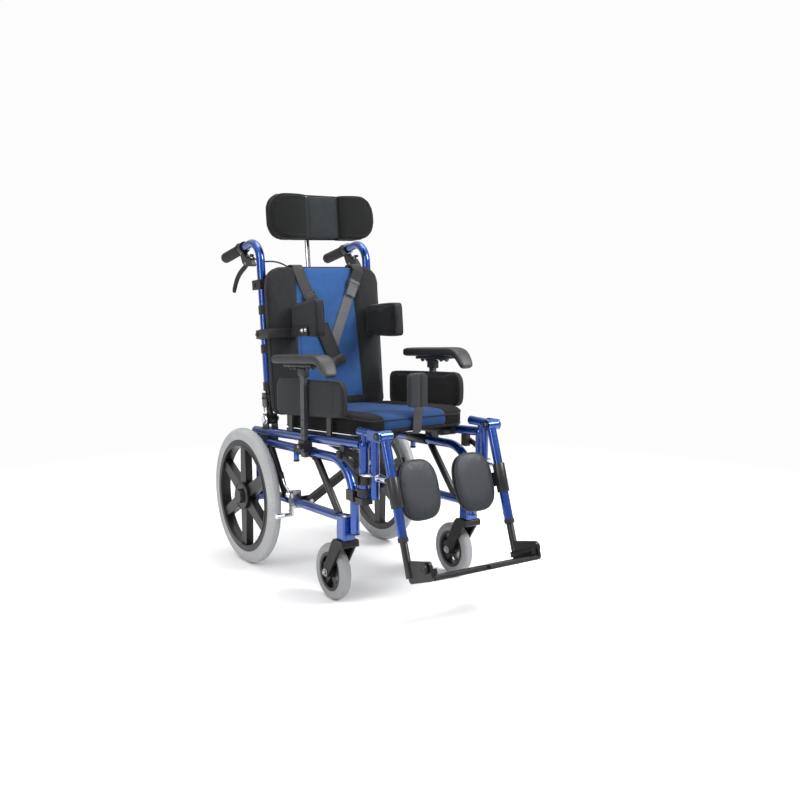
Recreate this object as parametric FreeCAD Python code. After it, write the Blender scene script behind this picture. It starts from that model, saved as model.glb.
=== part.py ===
import FreeCAD, Part
import math
import os
from FreeCAD import Vector as V

os.makedirs("parts", exist_ok=True)

# ---------------------------------------------------------------- dimensions
# Millimetres. +X is the occupant's left, -Y is forward, +Z is up, floor at z 0.
WHEEL_R = 200.0          # rear wheel, tyre outside
WHEEL_X = 234.0          # tyre centre plane from the middle of the chair
TYRE_W = 36.0
AXLE_Y, AXLE_Z = 305.0, 200.0
AXLE_R = 6.0
CASTOR_R = 75.0
CASTOR_W = 30.0
CASTOR_X = 198.0
STEM_Y = -207.0          # castor swivel axis
TRAIL = 66.0
RAIL_X = 189.0           # plane of each side frame
TUBE_R = 12.5
UP_Z0, UP_SLOPE = 411.0, -0.07      # upper tube: z = UP_Z0 + UP_SLOPE * y
FRONT_POST_Y = -236.0
HINGE_X, HINGE_Y = 184.0, -274.0    # legrest swing post
BRACE_X, BRACE_Z = 165.0, 225.0     # lower brace pivots
BRACE_ANGLE = 30.4                  # degrees at rest
BRACE_L1, BRACE_L2 = 191.0, 174.0   # pivot to centre, centre to seat rail
BRACE_YA, BRACE_YB = 45.0, 20.0     # middle planes of the two bars
RAIL_R = 10.0
RAIL_Z0 = 413.0                     # seat rail: z at y 0, same slope as the upper tube
SEAT_TOP, SEAT_BOTTOM = 486.5, 424.5   # cushion faces at y 0, same slope as the tube
SEAT_HALF = 174.0
SEAT_FRONT, SEAT_REAR = -240.0, 186.0
RECLINE_Y, RECLINE_Z = 251.6, 430.0
RECLINE_REST = 5.68      # degrees behind vertical
CANE_X = 180.0
CANE_TOP = 523.6         # pivot to the corner of the handle bend
HANDLE_DROP = 7.0        # degrees, handle against the square to the cane
HANDLE_LEN = 245.25
BACK_HALF = 192.0        # cushion in front of the canes
BACK_INNER = 163.0       # its back, between the canes
LEG_X = 166.0
LEG_Y, LEG_Z = -341.0, 459.0
LEG_LEAN = 18.5          # degrees ahead of vertical
LEG_TUBE_R, FOOT_TUBE_R = 12.0, 9.5
ARM_X, ARM_Y = 212.0, -15.0
HEAD_Y = 329.0           # headrest post at z 905
FIT = 0.06               # radial running clearance of pins
GAP = 0.4                # clearance of sliding and turning sleeves

out = {}


# ------------------------------------------------------------------- helpers
def box(x0, x1, y0, y1, z0, z1):
    return Part.makeBox(abs(x1 - x0), abs(y1 - y0), abs(z1 - z0),
                        V(min(x0, x1), min(y0, y1), min(z0, z1)))


def cyl(a, b, r, ri=0.0):
    a, b = V(*a), V(*b)
    d = b - a
    c = Part.makeCylinder(r, d.Length, a, d)
    if ri > 0:
        c = c.cut(Part.makeCylinder(ri, d.Length + 2, a - d.normalize(), d))
    return c


def prism(points, x0, x1):
    """A plate: an outline in the YZ plane drawn out along X."""
    p = [V(x0, y, z) for y, z in points]
    return Part.Face(Part.makePolygon(p + [p[0]])).extrude(V(x1 - x0, 0, 0))


def rounded(points, radius, x0, x1):
    """The same plate with every corner of the outline rounded."""
    edges, n, ends = [], len(points), []
    pts = [V(x0, y, z) for y, z in points]
    for i in range(n):
        a, b, c = pts[i - 1], pts[i], pts[(i + 1) % n]
        u, w = (a - b).normalize(), (c - b).normalize()
        half = u.getAngle(w) / 2
        d = min(radius / math.tan(half), 0.48 * min((a - b).Length, (c - b).Length))
        r = d * math.tan(half)
        mid = b + (u + w).normalize() * (r / math.sin(half) - r)
        ends.append((b + u * d, mid, b + w * d))
    for i in range(n):
        p, m, q = ends[i]
        edges.append(Part.Arc(p, m, q).toShape())
        nxt = ends[(i + 1) % n][0]
        if (nxt - q).Length > 1e-4:
            edges.append(Part.makeLine(q, nxt))
    return Part.Face(Part.Wire(edges)).extrude(V(x1 - x0, 0, 0))


def bent(points, radius, r):
    """A round bar along a polyline with its corners bent to a radius."""
    pts = [V(*p) for p in points]
    edges, at = [], pts[0]
    for i in range(1, len(pts) - 1):
        a, b, c = pts[i - 1], pts[i], pts[i + 1]
        u, w = (a - b).normalize(), (c - b).normalize()
        half = u.getAngle(w) / 2
        rad = radius[i - 1] if isinstance(radius, (list, tuple)) else radius
        d = rad / math.tan(half)
        mid = b + (u + w).normalize() * (rad / math.sin(half) - rad)
        edges.append(Part.makeLine(at, b + u * d))
        edges.append(Part.Arc(b + u * d, mid, b + w * d).toShape())
        at = b + w * d
    edges.append(Part.makeLine(at, pts[-1]))
    path = Part.Wire(edges)
    ring = Part.Wire([Part.makeCircle(r, pts[0], pts[1] - pts[0])])
    return path.makePipeShell([ring], True, False)


def pieces(shape):
    return [s for s in shape.Solids if s.Volume > 2.0]


def coped(shapes):
    """Welded members: each one is cut back to those before it, so that they touch."""
    done = []
    for s in shapes:
        for d in done:
            if s.BoundBox.intersect(d.BoundBox):
                s = s.cut(d)
        done += pieces(s)
    return done


def fused(shapes):
    s = shapes[0]
    for t in shapes[1:]:
        s = s.fuse(t)
    return s.removeSplitter()


def mirror(s):
    return s.mirror(V(0, 0, 0), V(1, 0, 0))


def both(name, solids):
    """The same piece on the occupant's left (+X) and, mirrored, on the right."""
    out[name + "_l"] = list(solids)
    out[name + "_r"] = [mirror(s) for s in solids]


def in_leg(s):
    """From the leg's own frame (x, n behind the tube, -t down the tube)."""
    s = s.copy()
    s.rotate(V(0, 0, 0), V(1, 0, 0), -LEG_LEAN)
    s.translate(V(0, LEG_Y, LEG_Z))
    return s


def in_back(s):
    """From the back's own frame (z up along the cane from the recline pivot)."""
    s = s.copy()
    s.rotate(V(0, 0, 0), V(1, 0, 0), -RECLINE_REST)
    s.translate(V(0, RECLINE_Y, RECLINE_Z))
    return s


def up_z(y):
    return UP_Z0 + UP_SLOPE * y


# ---------------------------------------------------------------- side frames
X = RAIL_X
hinge_post = cyl((HINGE_X, HINGE_Y, 281), (HINGE_X, HINGE_Y, 436), TUBE_R)
hinge_post = hinge_post.cut(cyl((HINGE_X, HINGE_Y, 398), (HINGE_X, HINGE_Y, 440), 7.0 + FIT))
rear_upright = cyl((X, AXLE_Y, AXLE_Z), (X, AXLE_Y, up_z(AXLE_Y) - TUBE_R - 0.95), TUBE_R)
rear_upright = rear_upright.cut(cyl((X - 30, AXLE_Y, AXLE_Z), (X + 30, AXLE_Y, AXLE_Z), 19))
axle_boss = cyl((X - 17, AXLE_Y, AXLE_Z), (X + 19, AXLE_Y, AXLE_Z), 19, AXLE_R)
housing = box(CASTOR_X - 19, CASTOR_X + 19, STEM_Y - 19, STEM_Y + 19, 177, 237)
housing = housing.makeFillet(5, [e for e in housing.Edges if abs(e.BoundBox.ZLength - 60) < 0.1])
housing = housing.cut(cyl((CASTOR_X, STEM_Y, 170), (CASTOR_X, STEM_Y, 226), 8.0 + FIT))
# the upper tube, and its open rear end, which takes an accessory spigot
upper = cyl((X, 272, up_z(272)), (X, -270, up_z(-270)), TUBE_R)
upper_end = cyl((X, 331, up_z(331)), (X, 272, up_z(272)), TUBE_R, 9.0)
upper = upper.cut(cyl((HINGE_X, HINGE_Y, 280), (HINGE_X, HINGE_Y, 450), TUBE_R))
middle = bent([(X, AXLE_Y, 362), (X, FRONT_POST_Y, 380.4), (X, FRONT_POST_Y, 197)], 105, TUBE_R)
LOW_Z0, LOW_SLOPE = 219.94, -0.0293      # lower rail: z at y 0 and slope
low_z = lambda y: LOW_Z0 + LOW_SLOPE * y
lower = cyl((X, AXLE_Y, low_z(AXLE_Y)), (X, STEM_Y + 13, low_z(STEM_Y + 13)), TUBE_R)
lower = lower.cut(cyl((X - 30, AXLE_Y, AXLE_Z), (X + 30, AXLE_Y, AXLE_Z), 19))
side_frame = coped([axle_boss, rear_upright, hinge_post, housing, upper, upper_end, middle, lower])
both("side_frame", side_frame)

# black fittings of the side frame
hinge_block = box(HINGE_X - 15, HINGE_X + 17, HINGE_Y - 16, FRONT_POST_Y + 4, 280, 296)
strut_front = cyl((X, -40, 362), (X, -158, 232), 10)
strut_rear = cyl((X, 233, 356), (X, 140, 222), 10)
rail_sleeve = cyl((X, 66, 370.1), (X, -26, 373.2), TUBE_R + 2.2)
front_block = box(X - 17, X + 16, -253, -219, 283, 311)
arm_sleeve = box(X + 8, 222.5, ARM_Y - 16, ARM_Y + 16, 376, 407)
arm_hole = box(ARM_X - 6 - GAP, ARM_X + 6 + GAP, ARM_Y - 10 - GAP, ARM_Y + 10 + GAP, 370, 440)
arm_sleeve = arm_sleeve.cut(arm_hole)
hip_tabs = []
for y in (105, -110):
    hip_tabs.append(box(X - 2.5, X + 2.5, y - 11, y + 11, up_z(y), 452 + (175 - y) / 353 * 32 + 18))
recline_seat = box(163, X + 10, RECLINE_Y - 17, RECLINE_Y + 17, 370, 405)
recline_plates = [prism([(RECLINE_Y - 17, 403), (RECLINE_Y + 17, 403), (RECLINE_Y + 12, 446), (RECLINE_Y - 12, 446)], a, b)
                  for a, b in ((163, 168.6), (191.4, 197))]
recline_eye = [p.cut(cyl((160, RECLINE_Y, RECLINE_Z), (200, RECLINE_Y, RECLINE_Z), 6.0)) for p in recline_plates]
saddles = []
for y in (84, -150):
    zr = RAIL_Z0 + UP_SLOPE * y
    block = box(138, X, y - 9, y + 9, zr - 15, zr + 1)
    block = block.cut(cyl((150, y - 60, zr + 0.07 * 60), (150, y + 60, zr - 0.07 * 60), RAIL_R + 0.5))
    block = block.cut(box(140, 160.5, y - 10, y + 10, zr, zr + 2))
    saddles.append(block)
frame_members = side_frame


def clear_of(shape, others):
    for o in others:
        if shape.BoundBox.intersect(o.BoundBox):
            shape = shape.cut(o)
    return pieces(shape)


def fittings(side):
    """side +1: the brace pivot of the left frame is at BRACE_YB, on the right at BRACE_YA."""
    y, outer = (BRACE_YB, -1) if side > 0 else (BRACE_YA, 1)
    ya, yb = y + outer * 11.0, y + outer * 17.0
    tab = box(BRACE_X - 11, X, min(ya, yb), max(ya, yb), 203, 237)
    tab = tab.cut(cyl((BRACE_X, y - 40, BRACE_Z), (BRACE_X, y + 40, BRACE_Z), 6.0))
    made, have = [], list(frame_members)
    for s in [hinge_block, front_block, rail_sleeve, strut_front, strut_rear, arm_sleeve, *hip_tabs,
              recline_seat, *recline_eye, *saddles, tab]:
        p = clear_of(s, have)
        keep = max(p, key=lambda q: q.Volume)
        p = [q for q in p if q.Volume > 0.02 * keep.Volume]
        made += p
        have += p
    return made


fit_l = fittings(1)
fit_r = fittings(-1)
out["frame_fittings_l"] = fit_l
out["frame_fittings_r"] = [mirror(s) for s in fit_r]


def hardware(side):
    y, outer = (BRACE_YB, -1) if side > 0 else (BRACE_YA, 1)
    axle = fused([cyl((X - 17, AXLE_Y, AXLE_Z), (262, AXLE_Y, AXLE_Z), AXLE_R),
                  cyl((X - 24, AXLE_Y, AXLE_Z), (X - 17, AXLE_Y, AXLE_Z), 10)])
    recline_pin = cyl((161, RECLINE_Y, RECLINE_Z), (199, RECLINE_Y, RECLINE_Z), 6.0)
    brace_pin = cyl((BRACE_X, y - outer * 11, BRACE_Z), (BRACE_X, y + outer * 18.5, BRACE_Z), 6.0)
    # wheel-lock clamp on the lower rail, with its pivot stud
    clamp = box(X - 15, X + 15, 68, 92, 201, 233)
    clamp = clamp.cut(cyl((X, AXLE_Y, low_z(AXLE_Y)), (X, STEM_Y, low_z(STEM_Y)), TUBE_R))
    clamp = fused([max(pieces(clamp), key=lambda q: q.Volume), box(X - 12, X + 14, 72, 88, 231.5, 250)])
    stud = cyl((X + 14, 80, 241), (X + 26, 80, 241), 5.0)
    return [axle, recline_pin, brace_pin, clamp, stud]


out["frame_hardware_l"] = hardware(1)
out["frame_hardware_r"] = [mirror(s) for s in hardware(-1)]

# padded hip guides inside the armrests
def hip_guide(front):
    hip = rounded([(175, 452), (175, 562), (front, 586), (front, 484)], 26, 178, 204)
    for tab in hip_tabs:
        hip = hip.cut(tab)
    return hip


# the right-hand one reaches further forward
out["hip_pad_l"] = [hip_guide(-184)]
out["hip_pad_r"] = [mirror(hip_guide(-200))]

# ------------------------------------------------------------- folding brace
c, s_ = math.cos(math.radians(BRACE_ANGLE)), math.sin(math.radians(BRACE_ANGLE))
centre_x = 0.0
centre_z = BRACE_Z + BRACE_L1 * s_


def brace(side, y, bolt):
    """A square bar from a lower pivot to the seat rail of the other side. side +1 has its
    lower pivot on the left."""
    d = V(-side * c, 0, s_)
    nrm = V(side * s_, 0, c)
    low = V(side * BRACE_X, y, BRACE_Z)
    top = low + d * (BRACE_L1 + BRACE_L2)
    w = V(0, 20, 0)
    a = low - nrm * 10 - V(0, 10, 0)
    e = top - nrm * 10 - V(0, 10, 0) + d * 2
    bar = Part.Face(Part.makePolygon([a, a + w, a + w + nrm * 20, a + nrm * 20, a])).extrude(e - a)
    bar = fused([bar, cyl((low.x, y - 10, low.z), (low.x, y + 10, low.z), 10)])
    bar = bar.cut(cyl((low.x, y - 12, low.z), (low.x, y + 12, low.z), 6.0 + FIT))
    mid = V(0, y, centre_z)
    hole = 6.0 if bolt else 6.0 + FIT
    bar = bar.cut(cyl((mid.x, y - 12, mid.z), (mid.x, y + 12, mid.z), hole))
    zr = lambda q: RAIL_Z0 + UP_SLOPE * q
    rail = cyl((top.x, 176, zr(176)), (top.x, -196, zr(-196)), RAIL_R)
    solids = [rail] + [max(pieces(bar.cut(rail)), key=lambda q: q.Volume)]
    if bolt:
        pin = cyl((0, BRACE_YB - 13, centre_z), (0, BRACE_YA + 10, centre_z), 6.0)
        head = cyl((0, BRACE_YB - 17, centre_z), (0, BRACE_YB - 11, centre_z), 10)
        solids.append(fused([pin, head]))
    return solids


out["brace_a"] = brace(-1, BRACE_YA, True)
out["brace_b"] = brace(1, BRACE_YB, False)

# ---------------------------------------------------------------------- seat
lo = lambda y: SEAT_BOTTOM + UP_SLOPE * y
hi = lambda y: SEAT_TOP + UP_SLOPE * y
cushion = rounded([(SEAT_REAR, lo(SEAT_REAR)), (SEAT_REAR, hi(SEAT_REAR)), (SEAT_FRONT, hi(SEAT_FRONT)), (SEAT_FRONT, lo(SEAT_FRONT))], 22, -SEAT_HALF, SEAT_HALF)
SEAT_CORNER = 44.0       # plan radius of the two front corners
sx, sy = SEAT_HALF - SEAT_CORNER, SEAT_FRONT + SEAT_CORNER
corner_off = box(sx, SEAT_HALF + 6, SEAT_FRONT - 6, sy, 400, 540).cut(cyl((sx, sy, 390), (sx, sy, 550), SEAT_CORNER))
cushion = cushion.cut(corner_off).cut(mirror(corner_off))
out["seat_cushion"] = [cushion]
out["pommel"] = [rounded([(-226, 503.6), (-226, 601), (-256, 601), (-256, 504)], 10, -30, 30)]

# ---------------------------------------------------------------------- back
XC = CANE_X
corner = (XC, 0, CANE_TOP)
hd = (math.cos(math.radians(HANDLE_DROP)), -math.sin(math.radians(HANDLE_DROP)))


def on_handle(d, up=0.0):
    return (XC, hd[0] * d - hd[1] * up, CANE_TOP + hd[1] * d + hd[0] * up)


cane = bent([(XC, 0, 105), corner, on_handle(HANDLE_LEN - 5)], 55, TUBE_R)
both("cane", [in_back(cane)])
grip = cyl(on_handle(HANDLE_LEN - 118), on_handle(HANDLE_LEN), 16.0)
grip = grip.cut(cyl(on_handle(HANDLE_LEN - 119), on_handle(HANDLE_LEN - 5), TUBE_R + 0.02))
both("grip", [in_back(grip)])

eye = cyl((XC - 9, 0, 0), (XC + 9, 0, 0), 14.5, 6.0 + FIT)
spigot = cyl((XC, 0, 6), (XC, 0, 105), 10)
collar = cyl((XC, 0, 52), (XC, 0, 70), 15.5)
perch_ring = cyl(on_handle(100), on_handle(126), 17.5, TUBE_R + 0.02)


def handle_plate(points, x0, x1):
    """An outline given as (along the handle, below it), drawn out along X."""
    q = [on_handle(a, -b) for a, b in points]
    return prism([(p[1], p[2]) for p in q], x0, x1)


perch_arm = handle_plate([(101, 15.5), (125, 15.5), (116, 44), (104, 56), (84, 62), (58, 68), (50, 64), (64, 42), (90, 34)], XC - 7, XC + 7)
slot = handle_plate([(70, 40), (118, 41), (118, 80), (70, 80)], XC - 4.0, XC + 4.0)
perch_arm = perch_arm.cut(slot)
LEVER_A, LEVER_B = 97.0, 50.0          # lever pin: along the handle, below it
pin_at = on_handle(LEVER_A, -LEVER_B)
lever_pin = cyl((XC - 7, pin_at[1], pin_at[2]), (XC + 7, pin_at[1], pin_at[2]), 2.5)
perch_arm = perch_arm.cut(lever_pin)
cable_stop = cyl(on_handle(90, -34.0), on_handle(66, -33.0), 3.6)
back_solids = coped([eye, spigot, collar, perch_ring, perch_arm, lever_pin, cable_stop])
BAR_Y, BAR_Z = 25.0, 392.0             # headrest bar behind the canes
back_clamp_r = box(XC - 14, XC + 14, -15, BAR_Y + 12, BAR_Z - 14, BAR_Z + 14)
back_clamp_r = back_clamp_r.cut(cyl((XC, 0, 100), (XC, 0, 460), TUBE_R + 0.02))
back_clamp_r = max(pieces(back_clamp_r), key=lambda q: q.Volume)
guide_l = back_clamp_r.cut(cyl((XC - 20, BAR_Y, BAR_Z), (XC + 20, BAR_Y, BAR_Z), 8.0 + 1.0))
clamp_r = back_clamp_r.cut(cyl((XC - 20, BAR_Y, BAR_Z), (XC + 20, BAR_Y, BAR_Z), 8.0))
bar_head = cyl((-XC - 16, BAR_Y, BAR_Z), (XC + 15.5, BAR_Y, BAR_Z), 8.0)
POST_R = 7.0
POST_Y = BAR_Y + 18.0
post_block = box(-17, 17, BAR_Y - 10, POST_Y + 11, BAR_Z - 18, BAR_Z + 18)
post_block = post_block.cut(cyl((0, POST_Y, 300), (0, POST_Y, 480), POST_R + FIT))
post_block = post_block.cut(bar_head)
out["back_fittings_l"] = [in_back(q) for q in back_solids + [guide_l]]
out["back_fittings_r"] = [in_back(mirror(q)) for q in back_solids + [clamp_r]] + [in_back(bar_head), in_back(post_block)]

# back cushion: a slab in front of the canes and a shallower part between them
back_slab = rounded([(-BACK_HALF, 8), (BACK_HALF, 8), (BACK_HALF, 440), (-BACK_HALF, 440)], 42, -60, -18.5)
back_slab.rotate(V(0, 0, 0), V(0, 0, 1), 90)
back_rear = box(-BACK_INNER, BACK_INNER, -18.5, -6, 30, 430)
out["back_cushion"] = [in_back(back_slab), in_back(back_rear)]


def strap(p, q, w, y0, y1):
    """A flat strap on the back, from p to q given as (x, z)."""
    a, b = V(p[0], y0, p[1]), V(q[0], y0, q[1])
    t = (b - a).normalize()
    n = V(-t.z, 0, t.x) * (w / 2)
    return Part.Face(Part.makePolygon([a + n, b + n, b - n, a - n, a + n])).extrude(V(0, y1 - y0, 0))


straps = [strap((84 * m, 428), (26 * m, 190), 27, -64.0, -60.6) for m in (-1, 1)]
buckle = box(-34, 34, -67, -60.6, 150, 186)
out["harness"] = [in_back(q) for q in straps + [buckle]]

# brake cables: from each lever's stop, the right one across behind the back to a junction block on the
# headrest bar, the left one down to a clip at the foot of its cane
def smooth_radii(points):
    """As large a bend at each point as its two runs leave room for."""
    got = []
    for a, b, c in zip(points, points[1:], points[2:]):
        u, w = V(*a) - V(*b), V(*c) - V(*b)
        half = u.getAngle(w) / 2
        got.append(0.45 * min(u.Length, w.Length) * math.tan(half))
    return got


CABLE_R = 2.5
start = on_handle(63, -33.0)
route_r = [(-XC, *start[1:]), (-172, 50, 467), (-146, 50, 463), (-112, 51, 465), (-80, 49, 456), (-52, 46, 436), (-30, 44, 411)]
route_l = [(XC, *start[1:]), (173, 49, 468), (163, 42.5, 448), (158, 40, 410), (157, 36, 300), (160, 30, 190), (159, 14, 112)]
cable_r = bent(route_r, smooth_radii(route_r), CABLE_R)
cable_l = bent(route_l, smooth_radii(route_l), CABLE_R)
out["brake_cable_r"] = [in_back(cable_r)]
out["brake_cable_l"] = [in_back(cable_l)]
junction = box(-41, -19, 15, 51, 381, 416).cut(bar_head).cut(cable_r)
clip = fused([cyl((XC, 0, 106), (XC, 0, 122), 17.0), box(151, 170, 4, 24, 106, 118)])
clip = clip.cut(cyl((XC, 0, 100), (XC, 0, 130), TUBE_R + 0.02)).cut(cable_l)
out["back_fittings_r"] += [in_back(q) for q in pieces(junction)]
out["back_fittings_l"] += [in_back(q) for q in pieces(clip)]

# brake levers
hub = cyl((XC - 3.6, pin_at[1], pin_at[2]), (XC + 3.6, pin_at[1], pin_at[2]), 7.5)
blade = handle_plate([(92, 46), (103, 44), (118, 50), (135, 54), (155, 58), (175, 66), (195, 80), (208, 95), (217, 110), (203, 116), (193, 101), (178, 86), (158, 76), (135, 71), (115, 68), (98, 60)], XC - 3.6, XC + 3.6)
lever = fused([hub, blade]).cut(cyl((XC - 9, pin_at[1], pin_at[2]), (XC + 9, pin_at[1], pin_at[2]), 2.5 + FIT))
both("brake_lever", [in_back(lever)])

# trunk guides: a block pad on a clamp that turns on the cane
LZ = 284.0


def trunk_guide(x0, x1, outline):
    """A block pad from x0 to x1, and its bracket: a ring on the cane, a strip round the edge of the back cushion and
    along the outer face of the pad. The right-hand pad is set further in than the left."""
    lat_pad = rounded(outline, 14, x0, x1)
    za, zb = LZ - 50, LZ - 24
    ring = cyl((XC, 0, za - 2), (XC, 0, zb + 2), 17.0, TUBE_R + GAP)
    web = box(XC + 10, 205, -9, 9, za, zb).cut(cyl((XC, 0, za - 5), (XC, 0, zb + 5), 16.0))
    strip = [box(200, 205, -72, 9, za, zb), box(x1, 205, -72, -67, za, zb), box(x1, x1 + 4, -170, -67, za, zb)]
    return [lat_pad, fused([ring, web, *strip])]


out["lateral_pad_l"] = [in_back(q) for q in trunk_guide(121, 156, [(-234, 217), (-234, 321), (-64, 323), (-64, 229)])]
out["lateral_pad_r"] = [in_back(mirror(q)) for q in trunk_guide(94, 130, [(-216, 224), (-216, 339), (-64, 329), (-64, 240)])]

# headrest on its post
HEAD_Z = 588.0
post = fused([cyl((0, POST_Y, 330), (0, POST_Y, 612), POST_R), cyl((-23, POST_Y, HEAD_Z), (23, POST_Y, HEAD_Z), 4.0)])
out["headrest_post"] = [in_back(post)]
head_yoke = fused([box(-24, -8.5, -17, POST_Y + 8, HEAD_Z - 10, HEAD_Z + 10), box(8.5, 24, -17, POST_Y + 8, HEAD_Z - 10, HEAD_Z + 10), box(-24, 24, -17, -5, HEAD_Z - 10, HEAD_Z + 10)])
head_yoke = head_yoke.cut(cyl((-30, POST_Y, HEAD_Z), (30, POST_Y, HEAD_Z), 4.0 + FIT))
head_mid = box(-50, 50, -63, -17.3, 515, 648)
head_mid = head_mid.makeFillet(14, head_mid.Edges)
wing = box(51, 178, -83, -17.3, 515, 649.4)
wing = wing.makeFillet(26, wing.Edges)
out["headrest_pad"] = [in_back(q) for q in (head_mid, wing, mirror(wing), head_yoke)]

# ------------------------------------------------------------------ armrests
arm_post = fused([box(ARM_X - 6, ARM_X + 6, ARM_Y - 10, ARM_Y + 10, 362, 613),
                  box(ARM_X - 6, ARM_X + 6, ARM_Y - 70, ARM_Y + 70, 606.5, 611)])
for z in (420, 442, 464):
    arm_post = arm_post.cut(cyl((ARM_X - 8, ARM_Y, z), (ARM_X + 8, ARM_Y, z), 2.6))
arm_pad = prism([(118, 605), (118, 631), (-124, 647), (-152, 636), (-178, 597), (-162, 588), (-138, 619), (-118, 622)], 194, 243)
arm_pad = arm_pad.cut(arm_post)
both("arm_post", [arm_post])
both("arm_pad", pieces(arm_pad))

# ---------------------------------------------------------------- rear wheels
def ring_x(x0, x1, r, ri, y=AXLE_Y, z=AXLE_Z):
    return cyl((x0, y, z), (x1, y, z), r, ri)


tyre = ring_x(WHEEL_X - TYRE_W / 2, WHEEL_X + TYRE_W / 2, WHEEL_R, 166.0)
tyre = tyre.makeFillet(13, [e for e in tyre.Edges if e.Curve.TypeId == "Part::GeomCircle" and abs(e.Curve.Radius - WHEEL_R) < 0.1])
both("rear_tyre", [tyre])
rim = ring_x(WHEEL_X - 15, WHEEL_X + 15, 165.95, 148.0)
hub_w = cyl((WHEEL_X - 22, AXLE_Y, AXLE_Z), (WHEEL_X + 20, AXLE_Y, AXLE_Z), 36)
cap_w = cyl((WHEEL_X + 20, AXLE_Y, AXLE_Z), (WHEEL_X + 31, AXLE_Y, AXLE_Z), 21)
members = [hub_w, cap_w, rim]
for k in range(6):
    w0, w1 = 19.0, 14.0
    p = [V(0, -w0, 20), V(0, w0, 20), V(0, w1, 152), V(0, -w1, 152)]
    spoke = Part.Face(Part.makePolygon(p + [p[0]])).extrude(V(22, 0, 0))
    spoke.translate(V(WHEEL_X - 11, 0, 0))
    spoke.rotate(V(0, 0, 0), V(1, 0, 0), 60 * k)
    spoke.translate(V(0, AXLE_Y, AXLE_Z))
    members.append(spoke)
wheel = fused(members).cut(cyl((200, AXLE_Y, AXLE_Z), (262.5, AXLE_Y, AXLE_Z), AXLE_R + FIT))
both("rear_rim", pieces(wheel))

# -------------------------------------------------------------------- castors
CY, CZ = STEM_Y + TRAIL, CASTOR_R
stem = cyl((CASTOR_X, STEM_Y, 160), (CASTOR_X, STEM_Y, 222), 8.0)
crown = rounded([(STEM_Y - 22, 156.5), (STEM_Y - 22, 175.5), (STEM_Y + 24, 175.5), (STEM_Y + 30, 156.5)], 5, CASTOR_X - 25.5, CASTOR_X + 25.5)
legs_f = [rounded([(STEM_Y - 20, 172), (STEM_Y + 28, 172), (CY + 15, CZ + 2), (CY + 6, CZ - 13), (CY - 10, CZ - 12)], 9, CASTOR_X + m * 19, CASTOR_X + m * 25.5) for m in (-1, 1)]
axle_c = cyl((CASTOR_X - 27, CY, CZ), (CASTOR_X + 27, CY, CZ), 5.0)
fork = fused([crown, *legs_f, stem, axle_c])
both("castor_fork", pieces(fork))
ct = ring_x(CASTOR_X - CASTOR_W / 2, CASTOR_X + CASTOR_W / 2, CASTOR_R, 52, CY, CZ)
ct = ct.makeFillet(11, [e for e in ct.Edges if e.Curve.TypeId == "Part::GeomCircle" and abs(e.Curve.Radius - CASTOR_R) < 0.1])
both("castor_tyre", [ct])
ch = [ring_x(CASTOR_X - 13, CASTOR_X + 13, 51.95, 43, CY, CZ), ring_x(CASTOR_X - 17, CASTOR_X + 17, 17, 5 + FIT, CY, CZ)]
for k in range(5):
    sp = box(-8, 8, -7, 7, 14, 45)
    sp.rotate(V(0, 0, 0), V(1, 0, 0), 72 * k)
    sp.translate(V(CASTOR_X, CY, CZ))
    ch.append(sp)
ch = fused(ch).cut(cyl((CASTOR_X - 20, CY, CZ), (CASTOR_X + 20, CY, CZ), 5 + FIT))
both("castor_hub", pieces(ch))

# ---------------------------------------------------------------- wheel locks
lock_arm = rounded([(70, 249), (90, 249), (76, 180), (62, 180)], 6, X + 16, X + 22)
lock_bar = cyl((X + 16, 69, 186), (258, 69, 186), 6.0)
lock_handle = bent([(X + 19, 82, 246), (X + 19, 112, 262), (X + 19, 130, 292)], 14, 3.6)
lock = fused([lock_arm, lock_bar, lock_handle]).cut(cyl((X + 10, 80, 241), (X + 30, 80, 241), 5.0 + FIT))
both("wheel_lock", pieces(lock))

# -------------------------------------------------------------------- legrests
HP = (HINGE_X, HINGE_Y)
socket = cyl((*HP, 330), (*HP, 356), 18.0, TUBE_R + GAP)
socket = fused([socket, box(HINGE_X + 14, HINGE_X + 24, HINGE_Y - 8, HINGE_Y + 8, 332, 354).cut(cyl((*HP, 325), (*HP, 360), 16))])
both("swing_cuff", [socket])
HX = 177.0
top_tube = cyl((HX, -244, 459), (HX, -322, 459), 11.5)
top_pin = cyl((*HP, 400), (*HP, 462), 7.0)
post2 = cyl((172, -306, 296), (172, -306, 459), 11.0)
low_ring = cyl((*HP, 300), (*HP, 318), 17.5, TUBE_R + GAP)
low_tab = box(166, 182, -306, HINGE_Y - 10, 301, 317).cut(cyl((*HP, 290), (*HP, 330), 16.0))
side_plate = rounded([(-296, 447), (-296, 471), (-352, 473), (-352, 445)], 8, 184, 190)
leg_pin = cyl((148, LEG_Y, LEG_Z), (191, LEG_Y, LEG_Z), 6.0)
stop_rod = cyl((172, -306, 352), (172, -355, 352), 5.0)
hanger = coped([leg_pin, top_pin, top_tube, side_plate, post2, low_ring, low_tab, stop_rod])
both("legrest_hanger", hanger)

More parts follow.
